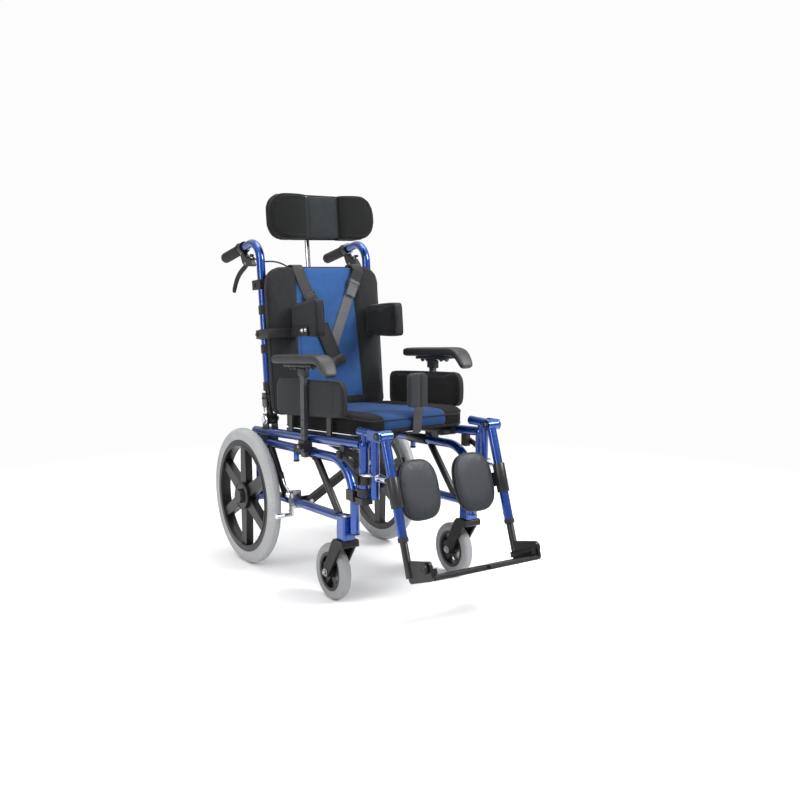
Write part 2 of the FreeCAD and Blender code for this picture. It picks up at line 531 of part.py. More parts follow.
# release latch of the swing: a small lever on the middle rail
latch_pin_y, latch_pin_z = -196.0, 392.0
latch = fused([rounded([(-178, 388), (-178, 404), (-214, 398), (-262, 378), (-268, 368), (-258, 364), (-214, 384)], 4, 203.5, 209),
               cyl((203.5, latch_pin_y, latch_pin_z), (212, latch_pin_y, latch_pin_z), 8)])
latch = latch.cut(cyl((200, latch_pin_y, latch_pin_z), (214, latch_pin_y, latch_pin_z), 4 + FIT))
both("swing_latch", pieces(latch))
latch_lug = box(X - 2, 203, latch_pin_y - 10, latch_pin_y + 10, 380, 418)
latch_stud = cyl((203, latch_pin_y, latch_pin_z), (213, latch_pin_y, latch_pin_z), 4.0)
for side in ("_l", "_r"):
    lug = fused([latch_lug, latch_stud])
    have = list(frame_members) + (fit_l if side == "_l" else fit_r)
    lug = max(clear_of(lug, have), key=lambda q: q.Volume)
    out["frame_fittings" + side].append(lug if side == "_l" else mirror(lug))

LX = LEG_X
barrel = cyl((LX - 16, 0, 0), (183.5, 0, 0), 14.0, 6.0 + FIT)
leg_tube = cyl((LX, 0, -6), (LX, 0, -258), LEG_TUBE_R).cut(cyl((LX, 0, -66), (LX, 0, -260), FOOT_TUBE_R + 0.3))
leg_tube = max(pieces(leg_tube.cut(cyl((LX - 30, 0, 0), (LX + 30, 0, 0), 14.0))), key=lambda q: q.Volume)
both("leg_tube", [in_leg(barrel), in_leg(leg_tube)])

foot = cyl((LX, 0, -140), (LX, 0, -348), FOOT_TUBE_R)
flange = rounded([(4, -306), (4, -362), (-96, -362), (-96, -316)], 10, 160, 168)
lugs = [box(147, 161, a, b, -347.5, -333) for a, b in ((-92, -84), (-10, -2))]
knob = cyl((168, -76, -330), (178, -76, -330), 12)
foot = fused([foot, flange, *lugs, knob])
hinge = cyl((152, -92, -341), (152, -2, -341), 4.0)
foot = foot.cut(hinge).fuse(hinge).removeSplitter()
both("foot_tube", [in_leg(q) for q in pieces(foot)])

plate = rounded([(-2, -350.5), (-2, -362), (-95.93, -362), (-95.93, -350.5)], 2.5, 6, 158)
knuckle = cyl((152, -83, -341), (152, -11, -341), 7.0)
web = box(146, 158, -83, -11, -352, -341)
plate = fused([plate, web, knuckle]).cut(cyl((152, -100, -341), (152, 2, -341), 4.0 + FIT))
both("footplate", [in_leg(q) for q in pieces(plate)])

sleeve = cyl((LX, 0, -103), (LX, 0, -178), 16.0, LEG_TUBE_R + GAP)
arm_c = fused([box(146.5, 160, 6, 34.5, -160, -124), box(70, 160, 30.6, 34.5, -160, -124)])
arm_c = arm_c.cut(cyl((LX, 0, -100), (LX, 0, -180), 15.0))
both("calf_bracket", [in_leg(q) for q in pieces(fused([sleeve, arm_c]))])
oval = Part.Ellipse(V(0, 0, 0), 77, 60).toShape()
oval.rotate(V(0, 0, 0), V(0, 0, 1), 90)
oval.rotate(V(0, 0, 0), V(1, 0, 0), 90)
oval.translate(V(86, 30, -140))
pad = Part.Face(Part.Wire([oval])).extrude(V(0, -29, 0))
both("calf_pad", [in_leg(pad)])

# ---------------------------------------------------------------------- write
names = sorted(out)
for name in names:
    solids = out[name]
    shape = solids[0] if len(solids) == 1 else Part.makeCompound(solids)
    shape.exportStep("parts/" + name + ".step")
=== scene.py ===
import bpy
import bmesh
import math
import numpy as np
from mathutils import Vector, Matrix, noise
from mathutils.bvhtree import BVHTree


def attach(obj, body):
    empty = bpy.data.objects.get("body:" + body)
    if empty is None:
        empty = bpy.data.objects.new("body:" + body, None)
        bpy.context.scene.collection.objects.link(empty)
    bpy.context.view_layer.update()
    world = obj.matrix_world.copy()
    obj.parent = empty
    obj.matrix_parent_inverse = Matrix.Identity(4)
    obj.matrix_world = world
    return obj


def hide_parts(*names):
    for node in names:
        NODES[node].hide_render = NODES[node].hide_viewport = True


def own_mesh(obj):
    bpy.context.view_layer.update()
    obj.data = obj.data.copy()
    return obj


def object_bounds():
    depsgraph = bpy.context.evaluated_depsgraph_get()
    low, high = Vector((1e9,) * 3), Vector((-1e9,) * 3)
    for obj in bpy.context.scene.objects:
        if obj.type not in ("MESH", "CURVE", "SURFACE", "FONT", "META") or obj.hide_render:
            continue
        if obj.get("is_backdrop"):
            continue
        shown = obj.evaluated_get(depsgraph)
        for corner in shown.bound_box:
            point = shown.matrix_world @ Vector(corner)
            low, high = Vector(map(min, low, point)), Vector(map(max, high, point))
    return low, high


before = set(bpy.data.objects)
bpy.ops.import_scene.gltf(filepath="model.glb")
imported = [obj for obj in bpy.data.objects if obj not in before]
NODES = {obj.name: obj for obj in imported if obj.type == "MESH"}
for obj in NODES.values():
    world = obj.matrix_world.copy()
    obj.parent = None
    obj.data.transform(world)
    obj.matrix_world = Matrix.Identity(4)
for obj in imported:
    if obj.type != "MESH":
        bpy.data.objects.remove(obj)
cad_lo, cad_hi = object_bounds()
SCENE = bpy.context.scene
MM = 0.001

# frames of the back (z up the canes from the recline pivot), the legrests and the seat, in metres
M_ID = Matrix.Identity(4)
M_BACK = Matrix.Translation((0, 0.2516, 0.430)) @ Matrix.Rotation(math.radians(-5.68), 4, "X")
M_LEG = Matrix.Translation((0, -0.341, 0.459)) @ Matrix.Rotation(math.radians(-18.5), 4, "X")
M_SEAT = Matrix(((1, 0, 0, 0), (0, 1, 0, 0), (0, -0.07, 1, 0), (0, 0, 0, 1)))
TILT = Matrix(((1, 0, 0, 0), (0, 1, 0, 0), (0, -0.0667, 1, 0), (0, 0, 0, 1)))      # underside of the arm pads
HC, HS = math.cos(math.radians(7)), math.sin(math.radians(7))


def BK(x, y, z):
    return M_BACK @ (Vector((x, y, z)) * MM)


def LG(x, n, t):
    return M_LEG @ (Vector((x, n, -t)) * MM)


def HD(x, along, below):
    """A point at the push handle: along it from the corner of its bend, and below it."""
    return BK(x, HC * along - HS * below, 523.6 - HS * along - HC * below)


def W(x, y, z):
    return Vector((x, y, z)) * MM


# ------------------------------------------------------------------ camera
cam_data = bpy.data.cameras.new("camera")
cam = bpy.data.objects.new("camera", cam_data)
SCENE.collection.objects.link(cam)
target = Vector((0, -0.16059, 0.51727))
az, el, dist = math.radians(-33.83), math.radians(7.39), 2.71776
back_dir = Vector((math.sin(az) * math.cos(el), -math.cos(az) * math.cos(el), math.sin(el)))
cam.location = target + back_dir * dist
cam.rotation_mode = "QUATERNION"
cam.rotation_quaternion = (-back_dir).to_track_quat("-Z", "Y")
cam_data.sensor_width = 36.0
cam_data.lens = 45.73
cam_data.clip_start, cam_data.clip_end = 0.05, 200.0
SCENE.camera = cam


# --------------------------------------------------------------- materials
class Nodes:
    """A small builder of node trees: n(kind, {input: value or socket}, property=value)."""

    def __init__(self, tree):
        self.tree = tree

    def __call__(self, kind, ins=None, **props):
        n = self.tree.nodes.new("ShaderNode" + kind)
        for k, v in props.items():
            setattr(n, k, v)
        for k, v in (ins or {}).items():
            if isinstance(v, bpy.types.NodeSocket):
                self.tree.links.new(v, n.inputs[k])
            else:
                n.inputs[k].default_value = v
        return n

    def math(self, op, a, b=0.0, c=None):
        ins = {0: a, 1: b}
        if c is not None:
            ins[2] = c
        return self("Math", ins, operation=op).outputs[0]

    def mix(self, fac, a, b, blend="MIX"):
        m = self("Mix", {0: fac, 6: a, 7: b}, data_type="RGBA", blend_type=blend)
        return m.outputs[2]

    def ramp(self, fac, lo, hi):
        m = self("MapRange", {0: fac, 1: 0.0, 2: 1.0, 3: lo, 4: hi})
        return m.outputs[0]

    def noise(self, vec, scale, detail=3.0, rough=0.55):
        t = self("TexNoise", {"Vector": vec, "Scale": scale, "Detail": detail, "Roughness": rough})
        return t.outputs[0]


MATS = {}


def new_mat(name, coords="Object"):
    m = bpy.data.materials.new(name)
    m.use_nodes = True
    t = m.node_tree
    t.nodes.clear()
    n = Nodes(t)
    out = n("OutputMaterial")
    p = n("BsdfPrincipled")
    t.links.new(p.outputs[0], out.inputs[0])
    if coords == "rest":
        vec = n("Attribute", attribute_name="rest", attribute_type="GEOMETRY").outputs["Vector"]
    else:
        vec = n("TexCoord").outputs["Object"]
    MATS[name] = m
    return n, p, vec


def col(r, g, b):
    """An sRGB colour, 0 to 255, as linear RGBA."""
    f = lambda c: (c / 255 / 12.92) if c / 255 <= 0.04045 else ((c / 255 + 0.055) / 1.055) ** 2.4
    return (f(r), f(g), f(b), 1.0)


def weave_height(n, vec, period):
    """Over-and-under of a plain weave, the same on every face: products of sines of the three coordinates."""
    k = 2 * math.pi / period
    xyz = n("SeparateXYZ", {0: vec})
    s = [n.math("SINE", n.math("MULTIPLY", xyz.outputs[i], k)) for i in range(3)]
    ab, bc, ca = n.math("MULTIPLY", s[0], s[1]), n.math("MULTIPLY", s[1], s[2]), n.math("MULTIPLY", s[2], s[0])
    return n.math("ADD", n.math("ADD", ab, bc), ca)


def link(n, a, p, name):
    n.tree.links.new(a, p.inputs[name])


def fabric(name, colours, mask=None, period=0.0022, bump=0.35, rough=(0.82, 0.95), sheen=0.12, coords="rest", depth=0.0005):
    """Woven cloth. colours: one sRGB triple, or two with mask(n, vec) choosing the second."""
    n, p, vec = new_mat(name, coords)
    h = weave_height(n, vec, period)
    fine = n.noise(vec, 700.0, 2.0)
    broad = n.noise(vec, 9.0, 4.0)
    mid = n.noise(vec, 55.0, 3.0)
    base = []
    for c in colours:
        c = col(*c)
        dark = tuple(x * 0.72 for x in c[:3]) + (1.0,)
        lite = tuple(min(1.0, x * 1.22 + 0.001) for x in c[:3]) + (1.0,)
        base.append(n.mix(n.ramp(broad, -0.2, 1.2), dark, lite))
    colour = base[0] if mask is None else n.mix(mask(n, vec), base[0], base[1])
    thread = n.ramp(n.math("MULTIPLY_ADD", h, 0.25, 0.5), 0.72, 1.12)
    shade = n.math("MULTIPLY", thread, n.ramp(mid, 0.86, 1.12))
    grey = n("CombineColor", {0: shade, 1: shade, 2: shade}).outputs[0]
    colour = n.mix(1.0, colour, grey, "MULTIPLY")
    link(n, colour, p, "Base Color")
    link(n, n.ramp(fine, *rough), p, "Roughness")
    height = n.math("MULTIPLY_ADD", fine, 0.5, n.math("MULTIPLY_ADD", h, 0.5, n.math("MULTIPLY", mid, 1.2)))
    b = n("Bump", {"Strength": bump, "Distance": depth, "Height": height})
    link(n, b.outputs[0], p, "Normal")
    p.inputs["Sheen Weight"].default_value = sheen
    p.inputs["Sheen Roughness"].default_value = 0.45
    p.inputs["Specular IOR Level"].default_value = 0.22
    return MATS[name]


def hard(name, a, b, metallic=0.0, rough=(0.3, 0.45), coat=0.0, coat_rough=0.08, scale=40.0, bump=0.06, bump_scale=900.0,
         depth=0.0003, edge=None, spec=0.5, flake=None, coords="Object", grain=None):
    """Paint, metal, plastic or rubber. a and b: the sRGB colours between which it varies; edge: colour of worn edges."""
    n, p, vec = new_mat(name, coords)
    broad = n.noise(vec, scale, 4.0)
    fine = n.noise(vec, bump_scale, 2.0)
    smear = n.noise(vec, 14.0, 5.0, 0.65)
    colour = n.mix(n.ramp(broad, -0.25, 1.25), col(*a), col(*b))
    if flake:
        cells = n("TexVoronoi", {"Vector": vec, "Scale": flake[0]}, feature="F1")
        colour = n.mix(n.math("MULTIPLY", n.math("GREATER_THAN", cells.outputs["Color"], 0.62), flake[1]), colour, col(*flake[2]))
    if edge:
        geo = n("NewGeometry")
        worn = n.math("MULTIPLY", n.math("GREATER_THAN", geo.outputs["Pointiness"], 0.545), n.ramp(smear, 0.1, 0.8))
        colour = n.mix(worn, colour, col(*edge))
    link(n, colour, p, "Base Color")
    link(n, n.ramp(n.math("MULTIPLY_ADD", fine, 0.35, n.math("MULTIPLY", smear, 0.65)), *rough), p, "Roughness")
    height = fine
    if grain:
        cells = n("TexVoronoi", {"Vector": vec, "Scale": grain}, feature="DISTANCE_TO_EDGE")
        height = n.math("MULTIPLY_ADD", fine, 0.3, n.math("MINIMUM", cells.outputs["Distance"], 0.12))
    bn = n("Bump", {"Strength": bump, "Distance": depth, "Height": height})
    link(n, bn.outputs[0], p, "Normal")
    p.inputs["Metallic"].default_value = metallic
    p.inputs["Coat Weight"].default_value = coat
    p.inputs["Coat Roughness"].default_value = coat_rough
    p.inputs["Specular IOR Level"].default_value = spec
    return MATS[name]


def within(half, axis=0, soft=0.0006):
    """1 where the coordinate is nearer to 0 than half, with a narrow edge."""
    def f(n, vec):
        v = n("SeparateXYZ", {0: vec}).outputs[axis]
        return n("MapRange", {0: n.math("ABSOLUTE", v), 1: half + soft, 2: half - soft, 3: 0.0, 4: 1.0}).outputs[0]
    return f


def back_mask(n, vec):
    """The centre panel: wider towards the seat, and ending above a dark band."""
    xyz = n("SeparateXYZ", {0: vec})
    front = n("MapRange", {0: xyz.outputs[1], 1: -0.0295, 2: -0.0305, 3: 0.0, 4: 1.0}).outputs[0]
    half = n("MapRange", {0: xyz.outputs[2], 1: 0.052, 2: 0.437, 3: 0.108, 4: 0.092}).outputs[0]
    inside = n.math("SUBTRACT", half, n.math("ABSOLUTE", xyz.outputs[0]))
    side = n("MapRange", {0: inside, 1: -0.0006, 2: 0.0006, 3: 0.0, 4: 1.0}).outputs[0]
    high = n("MapRange", {0: xyz.outputs[2], 1: 0.0515, 2: 0.0525, 3: 0.0, 4: 1.0}).outputs[0]
    return n.math("MULTIPLY", n.math("MULTIPLY", side, high), front)


def seat_mask(n, vec):
    """The centre panel: narrower at the front edge, and above the dark band of the front face."""
    xyz = n("SeparateXYZ", {0: vec})
    half = n("MapRange", {0: xyz.outputs[1], 1: -0.235, 2: -0.12, 3: 0.097, 4: 0.104}).outputs[0]
    inside = n.math("SUBTRACT", half, n.math("ABSOLUTE", xyz.outputs[0]))
    side = n("MapRange", {0: inside, 1: -0.0006, 2: 0.0006, 3: 0.0, 4: 1.0}).outputs[0]
    high = n("MapRange", {0: xyz.outputs[2], 1: 0.4375, 2: 0.4385, 3: 0.0, 4: 1.0}).outputs[0]
    return n.math("MULTIPLY", side, high)


def inner_face(at, sign=-1):
    """1 on the occupant's side of a pad, whose rest x is measured outwards; the darker colour chosen there is painted
    shade.
    """
    def f(n, vec):
        v = n("SeparateXYZ", {0: vec}).outputs[0]
        return n("MapRange", {0: n.math("ABSOLUTE", v), 1: at + 0.0006, 2: at - 0.0006, 3: 0.0, 4: 1.0}).outputs[0]
    return f


CHAR, BLACK, BLUE = (36, 37, 39), (22, 22, 23), (45, 83, 137)
fabric("back_cloth", [CHAR, BLUE], back_mask)
fabric("seat_cloth", [(13, 13, 14), (28, 60, 105)], seat_mask, sheen=0.03)
fabric("pad_cloth", [CHAR], None)
# trunk and hip guides: the second, darker colour on their inner faces is painted shade
fabric("lateral_cloth_l", [(40, 41, 43), (19, 19, 20)], inner_face(0.1245))
fabric("lateral_cloth_r", [(36, 37, 39), (24, 24, 25)], inner_face(0.0975))
fabric("hip_cloth", [(37, 38, 40), (20, 20, 21)], inner_face(0.1835))
fabric("head_cloth", [(18, 19, 20), (39, 42, 44)], within(0.0497), sheen=0.05)
fabric("pommel_cloth", [(48, 50, 53)], None, period=0.0026)
fabric("piping_cloth", [(26, 26, 27)], None, period=0.0016, coords="Object")
fabric("dark_cloth", [(26, 26, 27)], None, coords="Object")
fabric("thread", [(46, 46, 46)], None, period=0.0012, coords="Object")


def webbing(name, rgb):
    """Flat webbing: ribs across the strap, and painted shade darkening its two edges. rest = (across, along,
    thickness).
    """
    n, p, vec = new_mat(name, "rest")
    xyz = n("SeparateXYZ", {0: vec})
    along = n.math("SINE", n.math("MULTIPLY", xyz.outputs[1], 2 * math.pi / 0.0021))
    across = n.math("SINE", n.math("MULTIPLY", xyz.outputs[0], 2 * math.pi / 0.0030))
    h = n.math("MULTIPLY_ADD", across, 0.45, along)
    broad = n.noise(vec, 18.0, 4.0)
    fine = n.noise(vec, 650.0, 2.0)
    c = col(*rgb)
    colour = n.mix(n.ramp(broad, -0.2, 1.2), tuple(x * 0.78 for x in c[:3]) + (1,), tuple(x * 1.18 for x in c[:3]) + (1,))
    # painted shade: the colour falls to two thirds across the strap's two edges
    edge = n("MapRange", {0: n.math("ABSOLUTE", xyz.outputs[0]), 1: 0.0142, 2: 0.0153, 3: 1.0, 4: 0.66}).outputs[0]
    shade = n.math("MULTIPLY", edge, n.ramp(n.math("MULTIPLY_ADD", h, 0.33, 0.5), 0.82, 1.10))
    grey = n("CombineColor", {0: shade, 1: shade, 2: shade}).outputs[0]
    link(n, n.mix(1.0, colour, grey, "MULTIPLY"), p, "Base Color")
    link(n, n.ramp(fine, 0.62, 0.82), p, "Roughness")
    b = n("Bump", {"Strength": 0.5, "Distance": 0.0005, "Height": n.math("MULTIPLY_ADD", fine, 0.4, h)})
    link(n, b.outputs[0], p, "Normal")
    p.inputs["Sheen Weight"].default_value = 0.15
    p.inputs["Specular IOR Level"].default_value = 0.3


webbing("webbing", (94, 96, 100))
webbing("near_webbing", (56, 56, 56))
webbing("dark_webbing", (34, 34, 35))

hard("blue_paint", (9, 46, 122), (17, 72, 160), metallic=0.72, rough=(0.20, 0.30), coat=1.0, coat_rough=0.05, scale=25.0,
     bump=0.02, bump_scale=1600.0, flake=(2600.0, 0.3, (46, 104, 184)))
hard("black_paint", (9, 9, 10), (15, 15, 16), rough=(0.28, 0.42), coat=0.12, coat_rough=0.2, spec=0.3, edge=(48, 48, 50), bump=0.05)
hard("black_plastic", (11, 11, 12), (18, 18, 19), spec=0.3, rough=(0.36, 0.52), bump=0.10, bump_scale=1300.0, edge=(58, 58, 60), depth=0.0002)
hard("foot_plastic", (10, 10, 11), (16, 16, 17), spec=0.3, rough=(0.42, 0.6), bump=0.16, bump_scale=900.0, edge=(34, 34, 36))
hard("rim_plastic", (10, 10, 11), (17, 17, 18), rough=(0.30, 0.45), bump=0.06, bump_scale=1100.0, edge=(56, 56, 58))
hard("grip_rubber", (15, 15, 16), (23, 23, 24), rough=(0.55, 0.75), bump=0.15, bump_scale=1000.0)
hard("grey_tyre", (148, 149, 151), (172, 173, 175), rough=(0.58, 0.78), bump=0.12, bump_scale=800.0, scale=12.0, edge=(190, 190, 190))
hard("castor_grey", (126, 127, 129), (150, 151, 153), rough=(0.55, 0.75), bump=0.12, bump_scale=800.0, scale=12.0)
hard("chrome", (214, 216, 220), (236, 238, 240), metallic=1.0, rough=(0.06, 0.20), bump=0.02, bump_scale=500.0, spec=0.6)
hard("steel", (150, 152, 155), (186, 188, 190), metallic=1.0, rough=(0.22, 0.42), bump=0.06, bump_scale=700.0, scale=60.0)
hard("dark_steel", (58, 59, 61), (78, 79, 81), metallic=0.9, rough=(0.30, 0.46), bump=0.06, bump_scale=700.0, scale=60.0)
hard("grey_alloy", (78, 81, 85), (98, 101, 105), metallic=0.85, rough=(0.34, 0.50), bump=0.06, bump_scale=900.0)
hard("pu_pad", (31, 32, 33), (41, 42, 43), rough=(0.42, 0.58), bump=0.30, bump_scale=900.0, grain=620.0, depth=0.0004)
hard("calf_vinyl", (32, 35, 39), (39, 42, 47), spec=0.32, rough=(0.40, 0.54), bump=0.28, bump_scale=900.0, grain=700.0, depth=0.0004)
hard("cable_black", (16, 16, 17), (24, 24, 25), rough=(0.35, 0.5), bump=0.05)


# -------------------------------------------------------------- mesh tools
def make(name, verts, faces, material, smooth=True, sharp=None):
    me = bpy.data.meshes.new(name)
    me.from_pydata([tuple(v) for v in verts], [], [tuple(f) for f in faces])
    me.validate()
    bm = bmesh.new()
    bm.from_mesh(me)
    bmesh.ops.recalc_face_normals(bm, faces=bm.faces)
    bm.to_mesh(me)
    bm.free()
    if smooth:
        me.polygons.foreach_set("use_smooth", [True] * len(me.polygons))
        if sharp:
            me.set_sharp_from_angle(angle=math.radians(sharp))
    o = bpy.data.objects.new(name, me)
    SCENE.collection.objects.link(o)
    if material:
        me.materials.append(MATS[material])
    return o


KIT = {}


def put(body, material, part, slot=None):
    """Adds a small rigid part to the set of that body and material."""
    verts, faces = part
    k = KIT.setdefault((body, material), ([], []))
    base = len(k[0])
    k[0].extend(verts)
    k[1].extend([tuple(i + base for i in f) for f in faces])


def axes_of(d):
    d = d.normalized()
    u = d.cross(Vector((0, 0, 1)))
    if u.length < 0.1:
        u = d.cross(Vector((1, 0, 0)))
    u.normalize()
    return d, u, d.cross(u)


def p_lathe(profile, at, axis, seg=32):
    """A turned part: profile of (distance along the axis, radius), both in metres, from the point at."""
    d, u, v = axes_of(axis)
    verts, faces, rows = [], [], []
    for s, r in profile:
        if r < 1e-7:
            rows.append([len(verts)])
            verts.append(at + d * s)
        else:
            rows.append(list(range(len(verts), len(verts) + seg)))
            verts += [at + d * s + (u * math.cos(2 * math.pi * k / seg) + v * math.sin(2 * math.pi * k / seg)) * r for k in range(seg)]
    for a, b in zip(rows, rows[1:]):
        if len(a) == 1 and len(b) == 1:
            continue
        for k in range(seg):
            q = (k + 1) % seg
            if len(a) == 1:
                faces.append((a[0], b[k], b[q]))
            elif len(b) == 1:
                faces.append((a[k], a[q], b[0]))
            else:
                faces.append((a[k], a[q], b[q], b[k]))
    return verts, faces


def p_cyl(a, b, r, bev=0.0006, seg=28):
    L = (b - a).length
    bev = min(bev, 0.4 * r, 0.4 * L)
    return p_lathe([(0, 0), (0, r - bev), (bev * 0.3, r - bev * 0.3), (bev, r), (L - bev, r), (L - bev * 0.3, r - bev * 0.3), (L, r - bev), (L, 0)], a, b - a, seg)


def p_ring(a, b, r, ri, bev=0.0006, seg=36):
    L = (b - a).length
    return p_lathe([(0, ri), (0, r - bev), (bev, r), (L - bev, r), (L, r - bev), (L, ri), (0, ri)], a, b - a, seg)


def p_dome(at, axis, r, h, seg=20):
    prof = [(0, 0), (0, r)] + [(h * math.sin(t), r * math.cos(t)) for t in [math.pi / 2 * i / 5 for i in range(1, 5)]] + [(h, 0)]
    return p_lathe(prof, at, axis, seg)


def p_bolt(at, axis, r, h=0.0045, washer=True, socket=False):
    """A hexagon head on its washer, or a round socket head."""
    d = axis.normalized()
    verts, faces = [], []

    def add(part):
        base = len(verts)
        verts.extend(part[0])
        faces.extend([tuple(i + base for i in f) for f in part[1]])
    if washer:
        add(p_lathe([(0, 0), (0, r * 1.45), (0.0010, r * 1.45), (0.0013, r * 1.38), (0.0013, 0)], at, d, 28))
    s = 0.0012 if washer else 0.0
    if socket:
        add(p_lathe([(s, 0), (s, r), (s + h * 0.8, r), (s + h, r * 0.86), (s + h, r * 0.52), (s + h * 0.5, r * 0.5), (s + h * 0.5, 0)], at, d, 28))
    else:
        add(p_lathe([(s, 0), (s, r), (s + h * 0.78, r), (s + h, r * 0.86), (s + h, 0)], at, d, 6))
    return verts, faces


def p_box(lo, hi, r=0.0015, seg=2, M=M_ID):
    """A box with rounded edges; corners in millimetres in the frame M."""
    bm = bmesh.new()
    bmesh.ops.create_cube(bm, size=1.0)
    a, b = Vector(lo) * MM, Vector(hi) * MM
    c, s = (a + b) / 2, Vector((abs(b.x - a.x), abs(b.y - a.y), abs(b.z - a.z)))
    for v in bm.verts:
        v.co = Vector((v.co.x * s.x, v.co.y * s.y, v.co.z * s.z)) + c
    bmesh.ops.bevel(bm, geom=list(bm.edges), offset=min(r, 0.45 * min(s)), segments=seg, profile=0.5, affect="EDGES")
    bm.verts.index_update()
    got = [M @ v.co for v in bm.verts], [tuple(v.index for v in f.verts) for f in bm.faces]
    bm.free()
    return got


def p_plate(outline, x0, x1, r=0.0008, M=M_ID, round_corners=0.0):
    """An outline in the YZ plane of M, in millimetres, drawn out along X, with bevelled rims."""
    pts = fillet(outline, round_corners, 6) if round_corners else outline
    bm = bmesh.new()
    ring = [bm.verts.new((x0 * MM, y * MM, z * MM)) for y, z in pts]
    f = bm.faces.new(ring)
    ext = bmesh.ops.extrude_face_region(bm, geom=[f])
    for v in [g for g in ext["geom"] if isinstance(g, bmesh.types.BMVert)]:
        v.co.x = x1 * MM
    rims = [e for e in bm.edges if abs(e.verts[0].co.x - e.verts[1].co.x) < 1e-9]
    bmesh.ops.bevel(bm, geom=rims, offset=r, segments=2, profile=0.5, affect="EDGES")
    bm.verts.index_update()
    got = [M @ v.co for v in bm.verts], [tuple(v.index for v in g.verts) for g in bm.faces]
    bm.free()
    return got


def fillet(points, radius, steps=6):
    """A closed 2-D outline with its corners rounded; radius is one number or one per corner."""
    n, got = len(points), []
    for i in range(n):
        rad = radius[i] if isinstance(radius, (list, tuple)) else radius
        a, b, c = Vector(points[i - 1]), Vector(points[i]), Vector(points[(i + 1) % n])
        u, w = (a - b).normalized(), (c - b).normalized()
        half = u.angle(w) / 2
        d = min(rad / math.tan(half), 0.48 * min((a - b).length, (c - b).length))
        rr = d * math.tan(half)
        centre = b + (u + w).normalized() * (rr / math.sin(half))
        p, q = b + u * d - centre, b + w * d - centre
        total = p.angle(q)
        cross = p.x * q.y - p.y * q.x
        for k in range(steps + 1):
            t = total * k / steps * (1 if cross > 0 else -1)
            got.append((centre.x + p.x * math.cos(t) - p.y * math.sin(t), centre.y + p.x * math.sin(t) + p.y * math.cos(t)))
    return got


def spline(points, per=8, closed=False):
    """A smooth line through points."""
    P = [Vector(p) for p in points]
    n, out = len(P), []
    for i in range(n if closed else n - 1):
        a, b, c, d = (P[(i + k) % n] if closed else P[min(max(i + k, 0), n - 1)] for k in (-1, 0, 1, 2))
        for j in range(per):
            t = j / per
            out.append(0.5 * ((2 * b) + (c - a) * t + (2 * a - 5 * b + 4 * c - d) * t * t + (3 * b - a - 3 * c + d) * t ** 3))
    if not closed:
        out.append(P[-1])
    return out


def p_tube(points, r, seg=10, closed=False, taper=None):
    """A round bar along a line of points; taper gives the radius at each point."""
    P = [Vector(p) for p in points]
    n = len(P)
    verts, faces = [], []
    t0 = (P[1] - P[0]).normalized()
    u = axes_of(t0)[1]
    for i in range(n):
        a, b = (P[i - 1], P[(i + 1) % n]) if closed else (P[max(i - 1, 0)], P[min(i + 1, n - 1)])
        t = (b - a).normalized()
        u = (u - t * u.dot(t)).normalized()
        v = t.cross(u)
        rr = taper[i] if taper else r
        verts += [P[i] + (u * math.cos(2 * math.pi * k / seg) + v * math.sin(2 * math.pi * k / seg)) * rr for k in range(seg)]
    for i in range(n if closed else n - 1):
        for k in range(seg):
            a, b = i * seg, ((i + 1) % n) * seg
            q = (k + 1) % seg
            faces.append((a + k, a + q, b + q, b + k))
    if not closed:
        faces.append(tuple(range(seg - 1, -1, -1)))
        faces.append(tuple((n - 1) * seg + k for k in range(seg)))
    return verts, faces


def set_rest(o, coords):
    at = o.data.attributes.get("rest") or o.data.attributes.new("rest", "FLOAT_VECTOR", "POINT")
    at.data.foreach_set("vector", np.asarray(coords, np.float32).ravel())


def coords_of(me):
    c = np.zeros(len(me.vertices) * 3, np.float32)
    me.vertices.foreach_get("co", c)
    return c.reshape(-1, 3).astype(float)


def set_coords(me, c):
    me.vertices.foreach_set("co", np.asarray(c, np.float32).ravel())
    me.update()


def normals_of(me):
    c = np.zeros(len(me.vertices) * 3, np.float32)
    me.vertices.foreach_get("normal", c)
    return c.reshape(-1, 3).astype(float)


# soft pieces, each with the place of its fixed end; each is later given a mesh of its own
SQUASH = []


def squash_later(o, anchor):
    SQUASH.append((o, anchor))


# ---------------------------------------------------------------- soft pads
PADS = []


